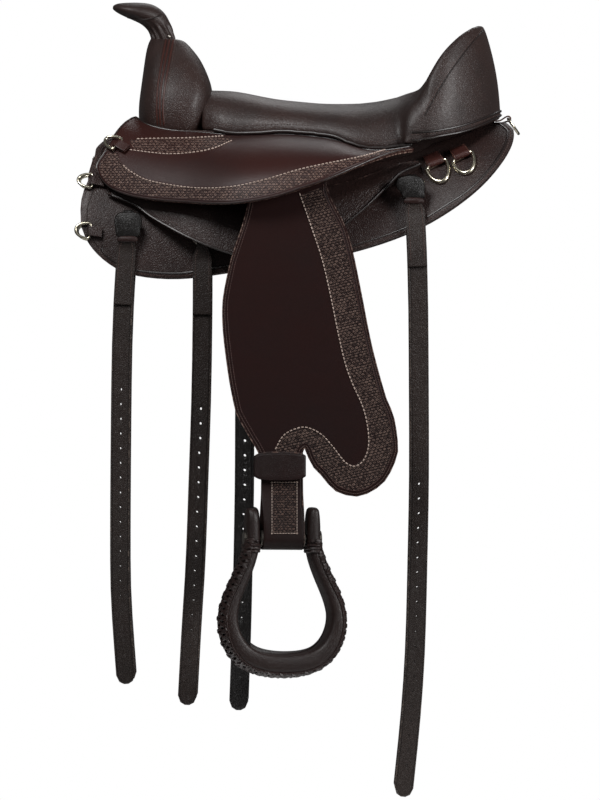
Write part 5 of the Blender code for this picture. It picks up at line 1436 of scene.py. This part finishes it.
    def cantle(self) -> None:
        """The seam under the cantle's rim, and its piped and stitched foot."""
        hide = self.cover
        low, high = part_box("cantle")
        for side in Side:
            line, _ = hide.laid(side, self.cantle_seam, 4 * MM, lift=0.2 * MM)
            self.shop.tube("cantle_welt_" + side.hand, [line], 1.0 * MM, PIPING, "saddle", sides=6)
            beside = [hide.snapped(p + UP * 2.4 * MM - Vector((1.6 * MM, 0, 0))) for p in line]
            row = [p for p, _ in beside], [n for _, n in beside]
            self.shop.stitches("cantle_stitches_" + side.hand, [row], "saddle", DARK_THREAD,
                               length=2.2 * MM, width=0.7 * MM)
        feet = []
        for first, last in self.foot_levels:
            foot = []
            for step in range(49):
                angle = math.radians(-90 + 180 * step / 48)
                reach = Vector((math.cos(angle) * (high.x - low.x), math.sin(angle) * high.y, 0.0))
                share = math.cos(angle)
                level = PHOTO.place(0, first + (last - first) * share * share)[1]
                foot.append(hide.snapped(Vector((low.x, 0.0, level)) + reach, 0.6 * MM)[0])
            feet.append(foot)
        self.shop.tube("cantle_foot_piping", [evened(foot, self.roll_step) for foot in feet], 1.7 * MM,
                       PIPING, "saddle")
        row = [hide.snapped(p - UP * 3.4 * MM) for p in evened(feet[0], 4 * MM)]
        self.shop.stitches("cantle_foot_stitches", [([p for p, _ in row], [n for _, n in row])], "saddle",
                           DARK_THREAD, length=2.4 * MM)


@dataclass
class Legs:
    """Fenders, stirrup leathers, keepers and the laced stirrups."""

    shop: Workshop
    fender_row: Pixels = ((300, 195), (313, 232), (323, 263), (332, 303), (338, 333), (345, 363),
                          (352.5, 384), (362, 405), (367, 424), (368.5, 444), (364, 459), (355, 466),
                          (345, 462), (333, 447), (322, 435), (309, 428), (298, 428), (284, 435), (276, 448))
    fender_band: Pixels = fender_row + ((272, 470), (300, 480), (360, 520), (420, 470), (420, 300),
                                        (340, 180))
    leather_panel: Pixels = ((272, 482), (297, 482), (297, 533), (272, 533))
    plate_grid: float = 3.4 * MM
    band_inset: float = 6.5 * MM
    row_step: float = 2.5 * MM
    edge_step: float = 4 * MM
    lace: float = 2.6 * MM
    lace_spacing: float = 8.6 * MM
    lace_reach: float = 15 * MM
    lace_parts: int = 8
    knot_levels: tuple[float, ...] = (5 * MM, 9 * MM, 13 * MM)
    branch_reach: float = 60 * MM

    def build(self) -> None:
        """Make both legs."""
        for side in Side:
            self.fender(side)
            self.leather(side)
            self.keeper(side)
            self.stirrup(side)

    def plate(self, node: str, name: str, finish: Finish, levels: int, round_edge: float,
              outline: Pixels | None = None) -> tuple[Hide, Line]:
        """A smoothed strap or plate in place of a node.

        Args:
            node: the node it stands for.
            name: the new piece's name.
            finish: what it is made of.
            levels: how many times its faces are divided.
            round_edge: how far its cut edge is rounded.
            outline: the stamped part's outline, if any, for which the plate is cut into a grid.

        Returns:
            Its surface and its rim.
        """
        edge = self.shop.rims(node)[0]
        shape = self.shop.refined(self.shop.welded(node), levels, round_edge=round_edge)
        if outline is not None:
            gridded(shape, ((Vector((1, 0, 0)), self.plate_grid), (UP, self.plate_grid)))
        hide = Hide(shape)
        rim = self.shop.rim_reading(shape, [edge])
        readings = {"rim": rim}
        if outline is not None:
            band = polygon_distance(self.shop.places(shape)[:, [0, 2]], PHOTO.line(outline))
            readings["band"] = np.minimum(band, rim - self.band_inset)
        self.shop.add(name, shape, finish, self.shop.bodies[node], [node], readings)
        return hide, edge

    def fender(self, side: Side) -> None:
        """A fender with its stamped border and stitching."""
        node = "fender_" + side.hand
        body = self.shop.bodies[node]
        hide, edge = self.plate(node, "fender_leather_" + side.hand, FENDER, 0, 1.4 * MM,
                                self.fender_band)
        rows = [hide.laid(side, self.fender_row, self.row_step)]
        self.shop.stitches("fender_stitches_" + side.hand, rows, body, THREAD, pitch=5.3 * MM,
                           length=2.8 * MM, width=1.6 * MM)
        edge = evened(edge, self.edge_step, True)
        for name, distance, thread in (("edge", 4.2 * MM, DARK_THREAD), ("inner", 8.0 * MM, RED_THREAD)):
            self.shop.stitches(f"fender_{name}_stitches_{side.hand}", [hide.inset(edge, distance, side)],
                               body, thread, pitch=3.2 * MM, length=2.3 * MM, width=1.0 * MM, gaps=9 * MM)

    def leather(self, side: Side) -> None:
        """A stirrup leather with its stamped panel."""
        node = "stirrup_leather_" + side.hand
        body = self.shop.bodies[node]
        hide, _ = self.plate(node, "leather_strap_" + side.hand, LEATHERS, 2, 1.0 * MM,
                             self.leather_panel)
        corners = list(self.leather_panel) + [self.leather_panel[0]]
        rows = []
        for (ax, ay), (bx, by) in zip(corners, corners[1:]):
            middle = ((ax + bx) / 2, (ay + by) / 2)
            rows.append(hide.laid(side, ((ax, ay), middle, (bx, by)), self.row_step))
        self.shop.stitches("leather_stitches_" + side.hand, [row for row in rows if len(row[0]) > 3],
                           body, THREAD, pitch=3.8 * MM)

    def keeper(self, side: Side) -> None:
        """The keeper that holds the leather to the fender, bare."""
        self.plate("keeper_" + side.hand, "keeper_band_" + side.hand, KEEPER, 3, 0.7 * MM)
        piece = bpy.data.objects["keeper_band_" + side.hand]
        low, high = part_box("keeper_" + side.hand)
        middle, half = (low + high) / 2, (high - low) / 2
        for vertex in piece.data.vertices:
            share = (vertex.co.x - middle.x) / half.x
            vertex.co.z = middle.z + (vertex.co.z - middle.z) * (1.06 - 0.34 * share ** 4)

    def stirrup(self, side: Side) -> None:
        """A leather-covered stirrup with braided lacing round its outer face."""
        node = "stirrup_" + side.hand
        body = self.shop.bodies[node]
        shape = self.shop.refined(self.shop.welded(node), 2, crease=95, swell=0.5 * MM)
        hide = Hide(shape)
        middle, across, depth = self.axes(shape)
        reach = max(abs((v.co - middle).dot(depth)) for v in shape.verts if v.co.z < middle.z)
        loop = sliced(shape, middle, depth)[0]
        line = evened(self.outer_line(loop, middle, across), self.lace_spacing)
        knots = []
        for end in (line[0], line[-1]):
            for level in self.knot_levels:
                for ring in sliced(shape, end - UP * level, UP):
                    if all((p - end).length < self.branch_reach for p in ring):
                        knots.append([hide.snapped(p, 0.8 * MM)[0] for p in evened(ring, 3 * MM, True)])
        self.shop.add("stirrup_cover_" + side.hand, shape, STIRRUP, body, [node])
        braid = bmesh.new()
        for first, (place, run) in enumerate(zip(line, runs(line))):
            for way in (1, -1):
                strand, normals = [], []
                for step in range(self.lace_parts + 1):
                    share = step / self.lace_parts
                    point = (place + run * way * (share - 0.5) * self.lace_reach
                             + depth * (share - 0.5) * 2 * reach)
                    spot, normal = hide.snapped(point)
                    lift = (0.5 + 0.5 * math.cos(math.pi * (share * 4 + first + (way > 0)))) * 1.3 * MM
                    strand.append(spot + normal * (1.0 * MM + lift))
                    normals.append(normal)
                sweep(strand, self.lace, 6, False, normals, 0.62, braid)
        self.shop.add("stirrup_lacing_" + side.hand, braid, LACE, body)
        edges = [[hide.snapped(p + depth * way * (reach + 1 * MM), 0.7 * MM)[0] for p in line]
                 for way in (1, -1)]
        self.shop.tube("stirrup_welts_" + side.hand, edges, 1.5 * MM, LACE, body, sides=6)
        self.shop.tube("stirrup_knots_" + side.hand, knots, 1.9 * MM, LACE, body, closed=True, sides=6)
        self.shop.metal("stirrup_bolt_" + side.hand, STEEL)

    def axes(self, shape: bmesh.types.BMesh) -> tuple[Vector, Vector, Vector]:
        """The middle of a stirrup and its width and depth directions."""
        points = self.shop.places(shape)
        middle = points.mean(axis=0)
        flat = points[:, :2] - middle[:2]
        values, vectors = np.linalg.eigh(flat.T @ flat)
        across = Vector((*vectors[:, int(values.argmax())], 0.0)).normalized()
        across = across if across.x > 0 else -across
        depth = across.cross(UP).normalized()
        return Vector(middle), across, depth

    def outer_line(self, loop: Line, middle: Vector, across: Vector) -> Line:
        """The outer part of a stirrup's section, from one branch top to the other.

        Args:
            loop: the section's closed outer line.
            middle: the middle of the stirrup.
            across: its width direction.

        Returns:
            The longer way round from top to top.
        """
        tops = []
        for way in (-1, 1):
            branch = [i for i, p in enumerate(loop) if (p - middle).dot(across) * way > 0]
            tops.append(max(branch, key=lambda i: loop[i].z))
        first, last = sorted(tops)
        ways = [loop[first:last + 1], loop[last:] + loop[:first + 1]]
        return max(ways, key=lambda line: sum((b - a).length for a, b in zip(line, line[1:])))


@dataclass
class Girthing:
    """Punched girth straps with their tabs, and all the metal rings and dees."""

    shop: Workshop
    hole: float = 1.9 * MM
    most_hole_rim: float = 22 * MM
    punch_depth: float = 9 * MM
    strap_grid: tuple[float, float] = (3.0 * MM, 11 * MM)
    free_level: float = -0.4
    edge_width: float = 0.55 * MM
    seam_step: float = 4 * MM
    seam_inset: float = 3.6 * MM
    seam_top_gap: float = 9 * MM
    dee_drop: float = 1.32
    black: tuple[str, ...] = ("centre_rear",)
    front_band: Pixels = ((118.5, 237), (115.2, 228), (114.4, 220), (117, 214.5), (122, 212.4),
                          (136, 212.4), (140, 214.5), (142, 220), (141, 228), (137.6, 237))
    rear_band: Pixels = ((404.5, 198.5), (401, 193), (396.2, 187), (396.4, 181), (400.5, 177), (410, 175.4),
                         (419, 176.8), (424.4, 182), (424.6, 191), (423, 198.5))
    front_cap: Pixels = ((118, 241.5), (119, 237), (128, 236), (136.6, 237), (137.2, 241.5), (127.6, 242.4))
    rear_cap: Pixels = ((404, 203), (405.4, 198.6), (414, 197.4), (422.6, 198.6), (423.6, 203), (414, 204.4))
    folds: dict[str, float] = field(default_factory=lambda: {
        "front": 295.0, "centre_front": 293.0, "rear": 262.4})
    band_thick: float = 4.2 * MM
    band_bulge: float = 4.6 * MM

    def build(self) -> None:
        """Make the straps, tabs, rings and dees."""
        for side in Side:
            for name in ("front", "centre_front", "centre_rear", "rear"):
                self.strap(f"{name}_girth_strap_{side.hand}", name in self.black, side)
            for node in ("front_girth_tab", "rear_girth_tab"):
                self.tab(f"{node}_{side.hand}", BLACK)
            for node in ("rear_dee_tab_a", "rear_dee_tab_b"):
                self.tab(f"{node}_{side.hand}", TAB)
            for node in ("front_upper_dee", "front_middle_dee", "front_lower_dee"):
                self.wire(f"{node}_{side.hand}", NICKEL)
            for node in ("rear_dee_a", "rear_dee_b"):
                self.wire(f"{node}_{side.hand}", NICKEL, drop=self.dee_drop)
            for node in ("front_girth_ring", "rear_girth_ring"):
                self.wire(f"{node}_{side.hand}", BLACKENED)
            for name, outline, cap in (("front", self.front_band, self.front_cap),
                                       ("rear", self.rear_band, self.rear_cap)):
                self.band(name, side, outline)
                self.band(name, side, cap, CAP, 0.4 * MM)
            self.wire("centre_rigging_" + side.hand, STEEL, 45)
            self.shop.metal("stirrup_hanger_" + side.hand, STEEL)
        self.tab("crupper_tab", TAB)
        self.wire("crupper_dee", NICKEL)

    def strap(self, node: str, black: bool, side: Side) -> None:
        """A girth strap with round punched holes and softened edges."""
        shape = self.shop.welded(node)
        edge = self.shop.rims(node)[0]
        if node.split("_girth")[0] in self.folds:
            self.seam(node, edge, Hide(shape), side)
        across, along = self.strap_grid
        gridded(shape, ((Vector((1, 0, 0)), across), (UP, along)))
        depths = [v.co.y for v in shape.verts if v.co.z < self.free_level]
        middle = sum(depths) / max(len(depths), 1)
        loops = [line for line in sliced(shape, Vector((0, middle, 0)), Vector((0, 1, 0)))
                 if 3 <= len(line)
                 and sum((b - a).length for a, b in zip(line, line[1:])) < self.most_hole_rim]
        punches = bmesh.new()
        turn = Matrix.Rotation(math.pi / 2, 4, "X")
        for loop in loops:
            centre = sum(loop, Vector()) / len(loop)
            bmesh.ops.create_cone(punches, cap_ends=True, segments=14, radius1=self.hole, radius2=self.hole,
                                  depth=self.punch_depth, matrix=Matrix.Translation(centre) @ turn)
        whole = self.cut(shape, punches)
        rim = self.shop.rim_reading(whole, [edge])
        self.shop.add(node.replace("_girth_strap", "_punched_strap"), whole, BLACK if black else STRAP,
                      self.shop.bodies[node], [node], {"rim": rim})

    def seam(self, node: str, edge: Line, hide: Hide, side: Side) -> None:
        """The stitches beside both edges of a strap's doubled part.

        Args:
            node: the strap's node.
            edge: the outline of its outer face.
            hide: its surface.
            side: the side of the horse it hangs on.
        """
        level = PHOTO.place(0, self.folds[node.split("_girth")[0]])[1] + self.seam_step
        top = max(p.z for p in edge) - self.seam_top_gap
        rows: list[tuple[Line, Line]] = [([], []), ([], [])]
        for i in range(max(int((top - level) / self.seam_step), 0)):
            z = level + i * self.seam_step
            places = [a.x + (b.x - a.x) * (z - a.z) / (b.z - a.z)
                      for a, b in zip(edge, edge[1:] + edge[:1]) if (a.z > z) != (b.z > z)]
            for row, x in zip(rows, (min(places) + self.seam_inset, max(places) - self.seam_inset)):
                hit = hide.seen(side, x, z)
                if hit is not None:
                    row[0].append(hit[0])
                    row[1].append(hit[1])
        self.shop.stitches(node.replace("_girth_strap", "_strap_stitches"), rows, self.shop.bodies[node],
                           DARK_THREAD, pitch=3.6 * MM, length=2.2 * MM, width=0.9 * MM)

    def band(self, name: str, side: Side, outline: Pixels, finish: Finish = BLACK,
             lift: float = 0.0) -> None:
        """The leather that covers a girth ring or the fold of its strap.

        Args:
            name: which strap it is.
            side: the side of the horse it is on.
            outline: its outline in the photograph.
            finish: its leather.
            lift: how much further out it lies.
        """
        ring_low, ring_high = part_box(f"{name}_girth_ring_{side.hand}")
        out = max(abs(ring_low.y), abs(ring_high.y)) + 1.2 * MM + lift
        edge = evened([Vector((x, 0.0, z)) for x, z in PHOTO.line(outline)], 1.6 * MM, True)
        middle = sum(edge, Vector()) / len(edge)
        shape = bmesh.new()
        rings = []
        for share, rise in ((1.0, 0.0), (1.0, 0.6), (0.94, 1.0), (0.72, 1.25), (0.36, 1.42), (0.0, 1.5)):
            bulge = self.band_thick * min(rise, 1.0) + self.band_bulge * max(rise - 1.0, 0.0)
            centre = middle + side.out * (out + bulge)
            rings.append([shape.verts.new(centre + (p - middle) * share) for p in edge]
                         if share else [shape.verts.new(centre)])
        count = len(edge)
        for first, second in zip(rings, rings[1:]):
            for j in range(count):
                k = (j + 1) % count
                if len(second) > 1:
                    shape.faces.new((first[j], first[k], second[k], second[j]))
                else:
                    shape.faces.new((first[j], first[k], second[0]))
        shape.faces.new(list(reversed(rings[0])))
        bmesh.ops.recalc_face_normals(shape, faces=shape.faces)
        kind = "ring_band" if finish is BLACK else "strap_cap"
        self.shop.add(f"{name}_{kind}_{side.hand}", shape, finish, f"{name}_girth_strap_{side.hand}")

    def cut(self, shape: bmesh.types.BMesh, punches: bmesh.types.BMesh) -> bmesh.types.BMesh:
        """Punch holes in a strap and round its edges.

        Args:
            shape: the strap, which is used up.
            punches: the punches, which are used up.

        Returns:
            The finished mesh.
        """
        objects = []
        for label, mesh_shape in (("strap", shape), ("punches", punches)):
            mesh = bpy.data.meshes.new(label)
            mesh_shape.to_mesh(mesh)
            mesh_shape.free()
            made = bpy.data.objects.new(label, mesh)
            bpy.context.scene.collection.objects.link(made)
            objects.append(made)
        holes = objects[0].modifiers.new("holes", "BOOLEAN")
        holes.operation = "DIFFERENCE"
        holes.object = objects[1]
        edge = objects[0].modifiers.new("edge", "BEVEL")
        edge.width = self.edge_width
        edge.segments = 2
        edge.limit_method = "ANGLE"
        edge.angle_limit = math.radians(50)
        evaluated = objects[0].evaluated_get(bpy.context.evaluated_depsgraph_get())
        whole = bmesh.new()
        whole.from_mesh(evaluated.to_mesh())
        for made in objects:
            mesh = made.data
            bpy.data.objects.remove(made)
            bpy.data.meshes.remove(mesh)
        return whole

    def tab(self, node: str, finish: Finish) -> None:
        """A folded leather tab with rounded edges."""
        shape = self.shop.refined(self.shop.welded(node), 2, 50, 0.4 * MM)
        rim = self.shop.rim_reading(shape, self.shop.rims(node))
        self.shop.add(node.replace("tab", "tab_leather", 1), shape, finish, self.shop.bodies[node],
                      [node], {"rim": rim})

    def wire(self, node: str, finish: Finish, crease: float = 100, drop: float = 1.0) -> None:
        """A round wire in place of a node's coarser one.

        Args:
            node: the node it stands for.
            finish: its metal.
            crease: the angle in degrees above which an edge stays sharp.
            drop: how much longer its bow is below the bar.
        """
        shape = self.shop.refined(self.shop.welded(node), 2, crease, swell=(0.22 + (drop - 1) * 1.6) * MM)
        if drop > 1:
            bar = max(v.co.z for v in shape.verts)
            for vertex in shape.verts:
                vertex.co.z -= (bar - vertex.co.z) * (drop - 1)
        self.shop.add(node + "_wire", shape, finish, self.shop.bodies[node], [node], sharp=60)


@dataclass(frozen=True)
class Lamp:
    """A square soft lamp that looks at the saddle."""

    name: str
    place: tuple[float, float, float]
    size: float
    energy: float


@dataclass
class Studio:
    """The floor, the white surroundings, the lamps and the camera.

    The camera stands far off, so that the near and far straps line up as they do in the photograph.
    """

    lamps: tuple[Lamp, ...] = (
        Lamp("key", (-0.8, -1.45, 1.35), 0.7, 30.0),
        Lamp("fill", (2.0, -1.3, 0.55), 0.8, 40.0),
        Lamp("far_side", (0.4, 2.4, 1.7), 1.2, 9.0),
    )
    lamp_aim: tuple[float, float, float] = (0.0, 0.0, -0.15)
    soft_light: float = 0.17
    glossy_light: float = -0.10
    floor_radius: float = 0.7
    sensor: float = 36.0
    distance: float = 36.0
    picture_height: float = 800 * PHOTO.pixel
    middle_z: float = PHOTO.place(300, 400)[1]
    near_plane: float = -0.15
    floor_level: float = -0.905

    def build(self) -> None:
        """Set everything up round the saddle."""
        self.world()
        self.floor()
        for lamp in self.lamps:
            self.light(lamp)
        self.camera()

    def world(self) -> None:
        """White to the camera, and a plain soft grey as light and in reflections."""
        world = bpy.data.worlds.new("studio")
        world.use_nodes = True
        w = Wiring(world.node_tree)
        background = next(n for n in w.tree.nodes if n.type == "BACKGROUND")
        path = w.node("ShaderNodeLightPath")
        seen = w.sum("MAXIMUM", path.outputs["Is Camera Ray"], path.outputs["Is Transmission Ray"])
        glossy = w.sum("MULTIPLY", path.outputs["Is Glossy Ray"], self.glossy_light)
        soft = w.sum("ADD", glossy, self.soft_light)
        w.feed(background.inputs["Color"], (1.0, 1.0, 1.0))
        w.feed(background.inputs["Strength"], w.sum("MAXIMUM", seen, soft))
        bpy.context.scene.world = world

    def floor(self) -> None:
        """A pale round floor below the hanging straps."""
        shape = bmesh.new()
        bmesh.ops.create_circle(shape, cap_ends=True, segments=96, radius=self.floor_radius,
                                matrix=Matrix.Translation((0.0, 0.0, self.floor_level)))
        mesh = bpy.data.meshes.new("floor")
        shape.to_mesh(mesh)
        shape.free()
        material = bpy.data.materials.new("pale_floor")
        material.use_nodes = True
        w = Wiring(material.node_tree)
        shader = next(n for n in w.tree.nodes if n.type == "BSDF_PRINCIPLED")
        shader.inputs["Roughness"].default_value = 0.9
        w.feed(shader.inputs["Base Color"],
               w.mix(w.noise(3.0, 4.0), (0.86, 0.86, 0.855), (0.90, 0.90, 0.895)))
        mesh.materials.append(material)
        made = bpy.data.objects.new("floor", mesh)
        bpy.context.scene.collection.objects.link(made)
        made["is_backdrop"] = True

    def light(self, lamp: Lamp) -> None:
        """Hang one lamp and turn it to the saddle."""
        light = bpy.data.lights.new(lamp.name, "AREA")
        light.size = lamp.size
        light.energy = lamp.energy
        made = bpy.data.objects.new(lamp.name, light)
        made.location = lamp.place
        aim = Vector(self.lamp_aim) - Vector(lamp.place)
        made.rotation_euler = aim.to_track_quat("-Z", "Y").to_euler()
        bpy.context.scene.collection.objects.link(made)

    def camera(self) -> None:
        """A long lens square to the near side, framed as the photograph is."""
        data = bpy.data.cameras.new("camera")
        data.sensor_fit = "AUTO"
        data.sensor_width = self.sensor
        data.lens = data.sensor_width * self.distance / self.picture_height
        data.clip_start = self.distance / 2
        data.clip_end = self.distance * 2
        made = bpy.data.objects.new("camera", data)
        made.location = (0.0, self.near_plane - self.distance, self.middle_z)
        made.rotation_euler = (math.pi / 2, 0.0, 0.0)
        bpy.context.scene.collection.objects.link(made)
        bpy.context.scene.camera = made


def corners(box: object) -> list[list[float]]:
    """A box as plain lists of numbers."""
    return [[float(value) for value in corner] for corner in box]


def main() -> None:
    """Build the whole picture in order."""
    logging.basicConfig(level=logging.INFO, format="%(message)s")
    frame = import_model()
    bare = corners(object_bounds())
    bpy.context.scene.view_settings.view_transform = "Standard"
    shop = Workshop(frame)
    Studio().build()
    for assembly in (Sheeting(shop), Jockeys(shop), Seat(shop), Legs(shop), Girthing(shop)):
        LOG.info("building %s", type(assembly).__name__)
        assembly.build()
    {"model": bare, "dressed": corners(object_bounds())}


if __name__ == "__main__":
    main()
